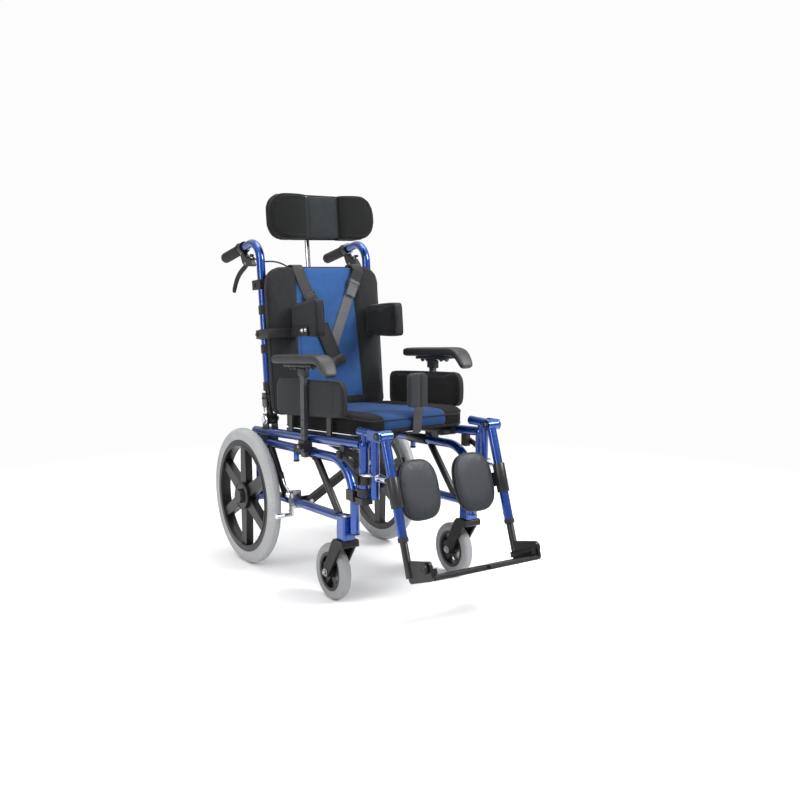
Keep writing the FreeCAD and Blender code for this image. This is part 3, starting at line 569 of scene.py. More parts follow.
class Pad:
    """A padded cover: a closed form, remeshed evenly, swollen by cloth pressure between its sewn lines."""

    def __init__(self, name, part, M, body, nodes, material, slot, voxel=0.005, smooth=6, cap=0.007, pressure=4.0, fill=0.7,
                 pin=None, shape=None, groove=None, clamp=None, anchor=None):
        self.__dict__.update(locals())
        o = make(name, part[0], part[1], material)
        r = o.modifiers.new("even", "REMESH")
        r.mode, r.voxel_size, r.use_smooth_shade = "VOXEL", voxel, True
        s = o.modifiers.new("round", "SMOOTH")
        s.iterations, s.factor = smooth, 0.5
        dg = bpy.context.evaluated_depsgraph_get()
        me = bpy.data.meshes.new_from_object(o.evaluated_get(dg))
        o.modifiers.clear()
        o.data = me
        if not me.materials:
            me.materials.append(MATS[material])
        if shape:
            set_coords(me, shape(coords_of(me)))
        self.ob = o
        self.base = coords_of(me)
        PADS.append(self)

    def finish(self, swollen=None):
        o, me = self.ob, self.ob.data
        c = self.base.copy()
        if swollen is not None:
            d = swollen - self.base
            L = np.linalg.norm(d, axis=1, keepdims=True) + 1e-12
            c = self.base + d * (self.cap * np.tanh(L / self.cap) / L)
        set_coords(me, c)
        if self.groove:
            nrm = normals_of(me)
            c = c - nrm * self.groove(c)[:, None]
            set_coords(me, c)
        if self.clamp:
            lo, hi = np.array(self.clamp[0]) * MM, np.array(self.clamp[1]) * MM
            c = np.clip(c, lo, hi)
            set_coords(me, c)
        set_rest(o, self.base)
        me.transform(self.M)
        me.polygons.foreach_set("use_smooth", [True] * len(me.polygons))
        sub = o.modifiers.new("fine", "SUBSURF")
        sub.levels = sub.render_levels = 1
        dg = bpy.context.evaluated_depsgraph_get()
        fine = bpy.data.meshes.new_from_object(o.evaluated_get(dg))
        o.modifiers.clear()
        o.data = fine
        fine.polygons.foreach_set("use_smooth", [True] * len(fine.polygons))
        self.tree = BVHTree.FromPolygons([v.co.copy() for v in fine.vertices], [tuple(p.vertices) for p in fine.polygons])
        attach(o, self.body)
        if self.nodes:
            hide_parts(*self.nodes)
        if self.anchor is not None:
            squash_later(o, self.anchor)
        return o


def prism(outline, c0, c1, axis):
    """A closed prism, in metres, of an outline in millimetres; axis says which coordinate c0 to c1 runs along."""
    order = {"x": lambda p, c: (c, p[0], p[1]), "y": lambda p, c: (p[0], c, p[1]), "z": lambda p, c: (p[0], p[1], c)}[axis]
    n = len(outline)
    verts = [Vector(order(p, c)) * MM for c in (c0, c1) for p in outline]
    faces = [tuple(range(n)), tuple(range(2 * n - 1, n - 1, -1))] + [(i, (i + 1) % n, n + (i + 1) % n, n + i) for i in range(n)]
    return verts, faces


def bell(v, s):
    return np.exp(-(v / s) ** 2)


def step01(v, a, b):
    t = np.clip((v - a) / (b - a), 0, 1)
    return t * t * (3 - 2 * t)


# back: two dark bolsters and a blue centre panel
def back_half(z):
    return 0.108 - 0.016 * np.clip((z - 0.052) / 0.385, 0, 1)


def back_groove(c):
    front = step01(c[:, 1], -0.030, -0.040)
    off = np.abs(c[:, 0]) - back_half(c[:, 2])
    seam = bell(off, 0.0040) * 0.0032 * step01(c[:, 2], 0.049, 0.055)
    band = bell(c[:, 2] - 0.052, 0.0036) * 0.0028 * (np.abs(c[:, 0]) < 0.109)
    pucker = 0.0007 * np.sin(c[:, 2] / 0.011) * bell(off, 0.013)
    return front * (seam + band + pucker)


def back_shape(c):
    c = c.copy()
    ax = np.abs(c[:, 0])
    front = step01(c[:, 1], -0.025, -0.050)
    wing = np.sin(np.clip((ax - 0.100) / 0.087, 0, 1) * math.pi) ** 0.8
    c[:, 1] -= front * 0.004 * wing
    c[:, 1] += front * 0.003 * (1 - wing) * (ax < 0.100)
    # between the canes the cushion is thicker
    inner = step01(ax, 0.161, 0.148) * step01(c[:, 2], 0.030, 0.046) * step01(c[:, 2], 0.431, 0.412)
    c[:, 1] += step01(c[:, 1], -0.032, -0.021) * inner * 0.011
    return c


back_out = fillet([(-187, 12), (187, 12), (187, 437), (-187, 437)], [30, 30, 50, 50], 12)
back_pad = Pad("back_cushion_soft", prism(back_out, -55, -19.5, "y"), M_BACK, "back_r", ["back_cushion"], "back_cloth", "two_tone_cloth",
               voxel=0.0058, smooth=6, cap=0.0065, fill=0.75, shape=back_shape, groove=back_groove, anchor=-0.192,
               pin=lambda c: np.maximum((c[:, 1] > -0.026), (np.abs(np.abs(c[:, 0]) - back_half(c[:, 2])) < 0.0045) & (c[:, 1] < -0.04) & (c[:, 2] > 0.052)),
               clamp=((-192, -64, 8), (192, -6.3, 443)))


# seat cushion: dark sides, blue centre, dark band along the front face
def seat_half(y):
    return 0.097 + 0.007 * np.clip((y + 0.235) / 0.115, 0, 1)


def seat_groove(c):
    off = np.abs(c[:, 0]) - seat_half(c[:, 1])
    top = step01(c[:, 2], 0.434, 0.440)
    seam = bell(off, 0.0040) * 0.0032 * top
    frontband = bell(c[:, 2] - 0.438, 0.0034) * step01(c[:, 1], -0.213, -0.226) * 0.0024
    pucker = 0.0007 * np.sin(c[:, 1] / 0.011) * bell(off, 0.013) * top
    return seam + frontband + pucker


def seat_shape(c):
    """The top edge at the front falls away."""
    c = c.copy()
    t = np.clip((-0.185 - c[:, 1]) / 0.050, 0, 1)
    c[:, 2] -= step01(c[:, 2], 0.440, 0.474) * 0.011 * t * t
    return c


seat_out = fillet([(-170, -235), (170, -235), (170, 182), (-170, 182)], [46, 46, 20, 20], 10)
seat_pad = Pad("seat_cushion_soft", prism(seat_out, 427, 480, "z"), M_SEAT, "seat", ["seat_cushion"], "seat_cloth", "two_tone_cloth",
               voxel=0.0058, smooth=9, cap=0.0068, fill=0.75, shape=seat_shape, groove=seat_groove, anchor=-0.174,
               pin=lambda c: np.maximum(c[:, 2] < 0.432, (np.abs(np.abs(c[:, 0]) - seat_half(c[:, 1])) < 0.0045) & (c[:, 2] > 0.462)),
               clamp=((-174, -240, 424.9), (174, 187, 489)))

# pommel
pom_out = fillet([(-28, 508), (28, 508), (28, 597), (-28, 597)], [6, 6, 13, 13], 6)


def pommel_groove(c):
    front = step01(c[:, 1], -0.246, -0.250)
    crease = bell(c[:, 0] - 0.003, 0.0026) * 0.0042 * front
    rim = bell(np.abs(c[:, 1] + 0.241) - 0.009, 0.002) * 0.0009
    return crease + rim


pommel_pad = Pad("pommel_soft", prism(pom_out, -252, -230, "y"), M_ID, "seat", ["pommel"], "pommel_cloth", "black_cloth",
                 voxel=0.0034, smooth=4, cap=0.0042, fill=0.7, groove=pommel_groove, anchor=-0.174,
                 pin=lambda c: np.maximum(c[:, 2] < 0.513, (np.abs(c[:, 0] - 0.003) < 0.003) & (c[:, 1] < -0.249)),
                 clamp=((-30.5, -257, 502.4), (30.5, -225, 603)))


# headrest: flat centre, bulging wings that turn forward
def head_shape(c):
    c = c.copy()
    t = np.clip((np.abs(c[:, 0]) - 0.050) / 0.124, 0, 1)
    wing = np.sin(np.clip(t, 0, 1) ** 0.75 * math.pi) ** 0.65
    front = step01(c[:, 1], -0.025, -0.055)
    c[:, 1] -= front * 0.021 * wing
    c[:, 1] -= 0.011 * t * t
    c[:, 2] += (c[:, 2] - 0.582) * (0.020 * wing - 0.035 * (1 - step01(t, 0.0, 0.05)))
    return c


def head_groove(c):
    seam = bell(np.abs(c[:, 0]) - 0.050, 0.0034) * 0.0042
    return seam


head_out = fillet([(-173, 519), (173, 519), (173, 646), (-173, 646)], [46, 59, 59, 44], 16)
head_pad = Pad("headrest_soft", prism(head_out, -58, -21, "y"), M_BACK, "head", ["headrest_pad"], "head_cloth", "black_cloth",
               voxel=0.0044, smooth=8, cap=0.0065, fill=0.8, shape=head_shape, groove=head_groove,
               pin=lambda c: np.maximum(c[:, 1] > -0.0245, (np.abs(np.abs(c[:, 0]) - 0.050) < 0.0035)),
               clamp=((-178.5, -90, 513), (178.5, -17.3, 653)))

SIDE_PADS = {}
# trunk guides: inner and outer x, and the outline; the right one is set further in
LATERAL = {"r": (94, 130, [(-216, 224), (-216, 339), (-64, 329), (-64, 240)]), "l": (121, 156, [(-234, 217), (-234, 321), (-64, 323), (-64, 229)])}
HIP_FRONT = {"r": -200, "l": -184}


def oblong(a, b, n=2.75):
    """Half-sizes a and b: fuller at the corners than an ellipse."""
    turn = [2 * math.pi * k / 72 for k in range(72)]
    return [(math.copysign(abs(math.cos(u)) ** (2 / n), math.cos(u)) * a, math.copysign(abs(math.sin(u)) ** (2 / n), math.sin(u)) * b) for u in turn]


def inset(points, d):
    """A four-sided outline drawn in towards its middle."""
    cy, cz = sum(p[0] for p in points) / 4, sum(p[1] for p in points) / 4
    return [(y - math.copysign(d, y - cy), z - math.copysign(d, z - cz)) for y, z in points]


for s, m in (("r", -1), ("l", 1)):
    x0, x1, outline = LATERAL[s]
    lat = fillet(inset(outline, 3), 15, 6)
    part = prism(lat, (x0 + 2.5) * m, (x1 - 3) * m, "x")
    SIDE_PADS["lat_" + s] = Pad("lateral_pad_soft_" + s, part, M_BACK, "lateral_" + s, ["lateral_pad_" + s], "lateral_cloth_" + s, "black_cloth",
                                voxel=0.0040, smooth=4, cap=0.0042, fill=0.75,
                                pin=lambda c, e=x1 * MM: np.abs(c[:, 0]) > e - 0.0055,
                                groove=lambda c, a=(x0 + x1) / 2 * MM, h=(x1 - x0) / 2 * MM - 0.0055: bell(np.abs(np.abs(c[:, 0]) - a) - h, 0.0018) * 0.0009,
                                clamp=((min((x0 - 1) * m, x1 * m), outline[0][0] - 2, 214), (max((x0 - 1) * m, x1 * m), -62, 342)))
    front = HIP_FRONT[s]
    hip = fillet([(172, 455), (172, 559), (front + 3, 583), (front + 3, 487)], [26, 26, 34, 30], 8)
    part = prism(hip, 181 * m, 201 * m, "x")
    SIDE_PADS["hip_" + s] = Pad("hip_pad_soft_" + s, part, M_ID, "base_" + s, ["hip_pad_" + s], "hip_cloth", "black_cloth",
                                voxel=0.0042, smooth=4, cap=0.0036, fill=0.75,
                                pin=lambda c: (np.abs(c[:, 0]) > 0.199),
                                groove=lambda c: bell(np.abs(np.abs(c[:, 0]) - 0.191) - 0.0085, 0.0018) * 0.0009,
                                clamp=((min(178 * m, 204 * m), front - 1, 450), (max(178 * m, 204 * m), 176, 588)))
    oval = [(86 * m + x * m, z - 140) for x, z in oblong(57.5, 74.5)]
    SIDE_PADS["calf_" + s] = Pad("calf_pad_soft_" + s, prism(oval, 4.5, 19, "y"), M_LEG, "calf_" + s, ["calf_pad_" + s], "calf_vinyl", "pu_pad",
                                 voxel=0.0034, smooth=3, cap=0.0032, fill=0.8,
                                 pin=lambda c: c[:, 1] > 0.012,
                                 clamp=((min(26 * m, 146 * m), 0.6, -218), (max(26 * m, 146 * m), 21, -62)))


def simulate():
    """All pads at once: pressure from inside, sewn lines and backs held, twenty frames, no gravity."""
    SCENE.frame_start, SCENE.frame_end = 1, 20
    for p in PADS:
        held = np.asarray(p.pin(p.base) if p.pin else np.zeros(len(p.base)), float)
        g = p.ob.vertex_groups.new(name="held")
        idx = [int(i) for i in np.nonzero(held > 0.5)[0]]
        if idx:
            g.add(idx, 1.0, "REPLACE")
        c = p.ob.modifiers.new("cloth", "CLOTH")
        st = c.settings
        st.quality = 4
        st.mass = 0.3
        st.tension_stiffness = st.compression_stiffness = 18
        st.shear_stiffness = 6
        st.bending_stiffness = 0.6
        st.use_pressure = True
        st.uniform_pressure_force = p.pressure
        st.effector_weights.gravity = 0.0
        st.vertex_group_mass = "held"
        c.collision_settings.use_collision = False
        c.collision_settings.use_self_collision = False
        c.point_cache.frame_start, c.point_cache.frame_end = 1, 20
    for f in range(1, 21):
        SCENE.frame_set(f)
    dg = bpy.context.evaluated_depsgraph_get()
    got = []
    for p in PADS:
        me = p.ob.evaluated_get(dg).to_mesh()
        got.append(coords_of(me))
        p.ob.evaluated_get(dg).to_mesh_clear()
    for p in PADS:
        p.ob.modifiers.clear()
        p.ob.vertex_groups.clear()
    SCENE.frame_set(1)
    return got


swollen = simulate()
for p, s in zip(PADS, swollen):
    p.finish(s)


# ------------------------------------------------- seams, piping and straps
def on_surface(tree, p, out=0.0):
    hit = tree.find_nearest(p)
    return hit[0] + hit[1] * out


def soft_line(name, pad, points, r, material="piping_cloth", closed=False, out=0.0, seg=7):
    """A corded seam that lies on a pad."""
    line = [on_surface(pad.tree, p, out) for p in points]
    n = len(line)
    for _ in range(2):
        line = [line[i] if (not closed and i in (0, n - 1)) else (line[i - 1] + line[i] * 2 + line[(i + 1) % n]) / 4 for i in range(n)]
    o = make(name, *p_tube(line, r, seg, closed), material)
    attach(o, pad.body)
    if pad.anchor is not None:
        squash_later(o, pad.anchor)
    return line


def stitches(name, pad, points, pitch=0.006, length=0.0034, r=0.00042):
    """A row of thread stitches on a pad."""
    line = [on_surface(pad.tree, p, 0.0002) for p in points]
    at, verts, faces, run = 0.0, [], [], 0.0
    for a, b in zip(line, line[1:]):
        L = (b - a).length
        while at <= run + L and L > 1e-9:
            d = (b - a).normalized()
            c = a + d * (at - run)
            part = p_tube([c - d * length / 2 - d * 0.0001, c - d * length * 0.3, c + d * length * 0.3, c + d * length / 2], r, 5,
                          taper=[r * 0.5, r, r, r * 0.5])
            base = len(verts)
            verts += part[0]
            faces += [tuple(i + base for i in f) for f in part[1]]
            at += pitch
        run += L
    o = make(name, verts, faces, "thread")
    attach(o, pad.body)
    if pad.anchor is not None:
        squash_later(o, pad.anchor)


def lerp_line(a, b, n):
    return [a + (b - a) * (i / (n - 1)) for i in range(n)]


# back cushion: piping round the front edge, twin needle rows beside the panel seams
edge = fillet([(-189, 10), (189, 10), (189, 439), (-189, 439)], [32, 32, 52, 52], 14)
soft_line("back_piping", back_pad, [BK(x, -44, z) for x, z in edge], 0.0021, closed=True, out=0.0006)
soft_line("back_piping_rear", back_pad, [BK(x, -24, z) for x, z in edge], 0.0017, closed=True, out=0.0004)
stitches("back_stitch_low", back_pad, [BK(-104 + 208 * i / 36, -70, 46.5) for i in range(37)])
for k, m in (("r", -1), ("l", 1)):
    for j, dx in enumerate((5.5, -5.5)):
        stitches("back_stitch_%s%d" % (k, j), back_pad, [BK(m * (back_half((58 + 372 * i / 60) * MM) / MM + dx), -70, 58 + 372 * i / 60) for i in range(61)])
# seat cushion
edge = fillet([(-172, -238), (172, -238), (172, 184), (-172, 184)], [48, 48, 22, 22], 12)
soft_line("seat_piping_top", seat_pad, [M_SEAT @ W(x, y, 472 - 10 * max(0, min(1, (-185 - y) / 50)) ** 2) for x, y in edge], 0.0021, closed=True, out=0.0006)
soft_line("seat_piping_low", seat_pad, [M_SEAT @ W(x, y, 434) for x, y in edge], 0.0019, closed=True, out=0.0004)
for k, m in (("r", -1), ("l", 1)):
    stitches("seat_stitch_" + k, seat_pad, [M_SEAT @ W(m * (seat_half(y * MM) / MM + 6), y, 500) for y in [170 - 390 * i / 60 for i in range(61)]])
# headrest: piping round it, and at the two upright seams
edge = fillet([(-176, 516), (176, 516), (176, 649), (-176, 649)], 48, 16)
soft_line("head_piping", head_pad, [BK(x, -39 - 11 * max(0, (abs(x) - 50) / 124) ** 2, z) for x, z in edge], 0.0020, closed=True, out=0.0005)
for k, m in (("r", -1), ("l", 1)):
    wing_edge = [(55, 528), (118, 525), (150, 535), (166, 558), (169, 583), (166, 606), (150, 630), (118, 640), (55, 637)]
    soft_line("head_wing_seam_" + k, head_pad, spline([BK(m * x, -100, z) for x, z in wing_edge], 6), 0.0013, out=0.0002)
    stitches("head_stitch_" + k, head_pad, [BK(m * 45.5, -85, 530 + 104 * i / 24) for i in range(25)])
# pads at the sides
for s, m in (("r", -1), ("l", 1)):
    lat = fillet(inset(LATERAL[s][2], 1), 16, 8)
    pad = SIDE_PADS["lat_" + s]
    for j, x in enumerate((LATERAL[s][0] + 3.5, LATERAL[s][1] - 6)):
        soft_line("lateral_piping_%s%d" % (s, j), pad, [BK(m * x, y, z) for y, z in lat], 0.0015, closed=True, out=0.0004)
    hip = fillet([(174, 453), (174, 561), (HIP_FRONT[s] + 1, 585), (HIP_FRONT[s] + 1, 485)], [27, 27, 35, 31], 10)
    pad = SIDE_PADS["hip_" + s]
    for j, x in enumerate((182.5, 199.5)):
        soft_line("hip_piping_%s%d" % (s, j), pad, [W(m * x, y, z) for y, z in hip], 0.0015, closed=True, out=0.0004)
    stitches("hip_stitch_" + s, pad, [W(m * 210, -150, 495 + 80 * i / 20) for i in range(21)])
    pad = SIDE_PADS["calf_" + s]
    oval = [LG(86 * m + x * m, 9, 140 - z) for x, z in oblong(58.8, 76)]
    soft_line("calf_piping_" + s, pad, oval, 0.0019, "black_plastic", closed=True, out=0.0006)


def ribbon(name, line, across, width, thick, material, body, slot, anchor=None):
    """Webbing along a line; across gives the direction of its width at each point."""
    P = [Vector(p) for p in line]
    n = len(P)
    hw, ht = width / 2, thick / 2
    sect = [(-hw, 0), (-hw + ht * 0.6, ht), (-hw * 0.5, ht), (0, ht), (hw * 0.5, ht), (hw - ht * 0.6, ht), (hw, 0),
            (hw - ht * 0.6, -ht), (hw * 0.5, -ht), (0, -ht), (-hw * 0.5, -ht), (-hw + ht * 0.6, -ht)]
    verts, faces, rest, run, k = [], [], [], 0.0, len(sect)
    for i in range(n):
        t = (P[min(i + 1, n - 1)] - P[max(i - 1, 0)]).normalized()
        a = across[i] if isinstance(across, list) else across
        a = (a - t * a.dot(t)).normalized()
        b = t.cross(a)
        if i:
            run += (P[i] - P[i - 1]).length
        verts += [P[i] + a * u + b * v for u, v in sect]
        rest += [(u, run, v) for u, v in sect]
    for i in range(n - 1):
        for j in range(k):
            q = (j + 1) % k
            faces.append((i * k + j, i * k + q, (i + 1) * k + q, (i + 1) * k + j))
    faces += [tuple(range(k - 1, -1, -1)), tuple((n - 1) * k + j for j in range(k))]
    o = make(name, verts, faces, material, sharp=50)
    set_rest(o, rest)
    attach(o, body)
    if anchor is not None:
        squash_later(o, anchor)
    return o


def front_of(pad, x, z, half=14.5):
    """How far forward the back cushion comes, in the back's frame, over a strap's width."""
    best = 0.0
    inv = M_BACK.inverted()
    d = (M_BACK.to_3x3() @ Vector((0, 1, 0))).normalized()
    for dx in (-half, 0, half):
        hit = pad.tree.ray_cast(BK(x + dx, -140, z), d)
        if hit[0] is not None:
            best = min(best, (inv @ hit[0]).y / MM)
    return best if best < 0 else -58.0


def harness_strap(name, m, top_x, low, buckle_z, cloth="webbing", cover=None, wide=None):
    """From behind the back, over its top edge and down to the centre buckle."""
    xs = lambda z: top_x + (low[0] - top_x) * (428 - z) / (428 - low[1])
    pts = [(top_x, 2.0, 330), (top_x, 0.5, 392), (top_x, -2.0, 424), (top_x, -12.0, 439.5), (top_x, -30, 445.0), (top_x, -48, 441.5)]
    zs = [428 - (428 - low[1]) * i / 26 for i in range(27)]
    ys = [front_of(back_pad, xs(z), z) - 1.6 for z in zs]
    for _ in range(3):
        ys = [ys[0]] + [min(ys[i], (ys[i - 1] + ys[i] * 2 + ys[i + 1]) / 4) for i in range(1, len(ys) - 1)] + [ys[-1]]
    pts += [(xs(z), y, z) for z, y in zip(zs, ys)]
    line = spline([BK(*p) for p in pts], 3)
    slope = (top_x - low[0]) / (428 - low[1])
    across = [Vector((1, 0, 0)) if i < 18 else (M_BACK.to_3x3() @ Vector((1, 0, -slope))).normalized() for i in range(len(line))]
    o = ribbon(name, line, across, 0.034, 0.0017, cloth, "back_r", "webbing", -0.192)
    if cover:
        # the doubled upper run, from over the top edge to the adjuster
        n0 = min(range(len(line)), key=lambda i: (line[i] - BK(*pts[3])).length)
        n1 = min(range(len(line)), key=lambda i: (line[i] - BK(xs(buckle_z), -62, buckle_z)).length)
        fwd = (M_BACK.to_3x3() @ Vector((0, -1, 0))).normalized()
        up = (M_BACK.to_3x3() @ Vector((0, 0, 1))).normalized()
        raised = [p + (fwd * min(1.0, max(0.0, (i - n0) / 8)) + up * max(0.0, 1 - (i - n0) / 10)) * 0.0020 for i, p in enumerate(line)]
        ribbon(name + "_upper", raised[n0:n1 + 1], across[n0:n1 + 1], 0.036, 0.0026, cover, "back_r", "webbing", -0.192)
    if wide:
        # the broad lower run, on top of the other strap's end
        run = [(xs(z), front_of(back_pad, xs(z), z, 20) - 4.6, z) for z in [wide[0] + (wide[1] - wide[0]) * i / 16 for i in range(17)]]
        run = [run[0]] + [(b[0], (a[1] + 2 * b[1] + c[1]) / 4, b[2]) for a, b, c in zip(run, run[1:], run[2:])] + [run[-1]]
        ribbon(name + "_broad", spline([BK(*p) for p in run], 3), (M_BACK.to_3x3() @ Vector((1, 0, -slope))).normalized(), 0.046, 0.0042, "dark_webbing", "back_r", "webbing", -0.192)
    # ladder-lock adjuster with its two bars and the doubled webbing through it
    xb, yb = xs(buckle_z), front_of(back_pad, xs(buckle_z), buckle_z) - 3.6
    R = M_BACK @ Matrix.Translation(Vector((xb, yb, buckle_z)) * MM) @ Matrix.Rotation(math.atan(slope), 4, "Y")
    verts, faces = [], []
    for lo, hi in (((-21, -3.2, -14), (-17.2, 2.2, 14)), ((17.2, -3.2, -14), (21, 2.2, 14)), ((-21, -3.6, 10.5), (21, 1.6, 14.5)),
                   ((-21, -4.6, 1.2), (21, 0.4, 5.0)), ((-21, -4.2, -7.0), (21, 0.8, -3.4)), ((-21, -3.0, -14.5), (21, 2.0, -11))):
        part = p_box(lo, hi, 0.0010, 2, R)
        base = len(verts)
        verts += part[0]
        faces += [tuple(i + base for i in f) for f in part[1]]
    b = make(name + "_adjuster", verts, faces, "black_plastic", sharp=40)
    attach(b, "back_r")
    squash_later(b, -0.192)
    tail = [R @ (Vector((0, -3.4, z)) * MM) for z in (12, 6, 0, -6, -14, -24, -36)]
    ribbon(name + "_tail", tail, (M_BACK.to_3x3() @ Vector((1, 0, -slope))).normalized(), 0.032, 0.0016, cloth, "back_r", "webbing", -0.192)
    return o


strap_r = harness_strap("harness_strap_r", -1, -88, (20, 152), 348, "near_webbing", wide=(268, 160))
strap_l = harness_strap("harness_strap_l", 1, 112, (6, 190), 384, "webbing", "dark_webbing")
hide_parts("harness")
yb = front_of(back_pad, 20, 158, 30) - 6.4
parts = [((-27, -3.2, -15), (27, 4.4, 15)), ((-23, -4.6, -10), (-6, -2.0, 10)), ((6, -4.6, -10), (23, -2.0, 10)), ((-4.2, -4.2, -12), (4.2, -1.0, 12))]
verts, faces = [], []
R = M_BACK @ Matrix.Translation(Vector((20, yb, 158)) * MM) @ Matrix.Rotation(math.atan(-108 / 276), 4, "Y")
for lo, hi in parts:
    part = p_box(lo, hi, 0.0028, 3, R)
    base = len(verts)
    verts += part[0]
    faces += [tuple(i + base for i in f) for f in part[1]]
buckle = make("harness_buckle", verts, faces, "black_plastic", sharp=40)
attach(buckle, "back_r")
squash_later(buckle, -0.192)

# strap of the pommel, down over the front of the seat
line = spline([W(0, -243, 512), W(0, -248.5, 507), W(0, -249.0, 500), W(0, -245.0, 486), W(0, -243.2, 470), W(0, -242.6, 456), W(0, -239.5, 444), W(0, -229, 437.6), W(0, -210, 436.6)], 5)
ribbon("pommel_strap", line, Vector((1, 0, 0)), 0.028, 0.0018, "near_webbing", "seat", "webbing", -0.174)

# edge of the seat sling under the cushion, above the side tube
for k, m in (("r", -1),):
    line = [M_SEAT @ W(m * 167, 172 - 374 * i / 24, 420.9 + 0.5 * math.sin(i * 1.3)) for i in range(25)]
    ribbon("seat_sling_edge_" + k, line, Vector((0, 0, 1)), 0.0105, 0.0018, "dark_webbing", "seat", "webbing", -0.174)

# straps behind the back, each with a loop round either cane
for j, z in enumerate((96, 205, 318)):
    line = [BK(-162 + 315 * i / 24, -3.0 + 1.6 * math.sin(math.pi * i / 24), z) for i in range(25)]
    ribbon("back_strap_%d" % j, line, (M_BACK.to_3x3() @ Vector((0, 0, 1))), 0.038, 0.0018, "dark_webbing", "back_r", "webbing", -0.180)
    for s, m in (("r", -1), ("l", 1)):
        ring = [BK(m * 180 + 14.0 * math.cos(math.pi * 2 * i / 40) * m, 14.0 * math.sin(math.pi * 2 * i / 40), z) for i in range(41)]
        ring = [BK(m * (158 if m < 0 else 150), -5.2, z)] + [BK(m * 163, -5.2, z)] + [BK(m * (180 + 14.0 * math.cos(math.radians(a))), 14.0 * math.sin(math.radians(a)), z) for a in range(205, 205 + 311, 10)] + [BK(m * 163, 3.0, z), BK(m * 158, 0.5, z)]
        ribbon("back_loop_%s%d" % (s, j), ring, (M_BACK.to_3x3() @ Vector((0, 0, 1))), 0.026, 0.0016, "dark_webbing", "back_" + s, "webbing")

# --------------------------------------------------------------- cables
def cable(name, node, body, pts, length):
    cu = bpy.data.curves.new(name, "CURVE")
    cu.dimensions = "3D"
    sp = cu.splines.new("NURBS")
    sp.points.add(len(pts) - 1)
    for q, p in zip(sp.points, pts):
        q.co = (*BK(*p), 1.0)
    sp.order_u = 3
    sp.use_endpoint_u = True
    cu.resolution_u = 12
    cu.bevel_depth = 0.0025
    cu.bevel_resolution = 4
    cu.materials.append(MATS["cable_black"])
    o = bpy.data.objects.new(name, cu)
    SCENE.collection.objects.link(o)
    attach(o, body)
    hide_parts(node)
    return o


HY, HZ = HC * 63 - HS * 33, 523.6 - HS * 63 - HC * 33
cable("brake_cable_soft_r", "brake_cable_r", "back_r", [(-180, HY, HZ), (-172, 50, 467), (-146, 50, 463), (-112, 51, 465), (-80, 49, 456), (-52, 46, 436), (-30, 44, 411)], 0)
cable("brake_cable_soft_l", "brake_cable_l", "back_l", [(180, HY, HZ), (173, 49, 468), (163, 42.5, 448), (158, 40, 410), (157, 36, 300), (160, 30, 190), (159, 14, 112)], 0)

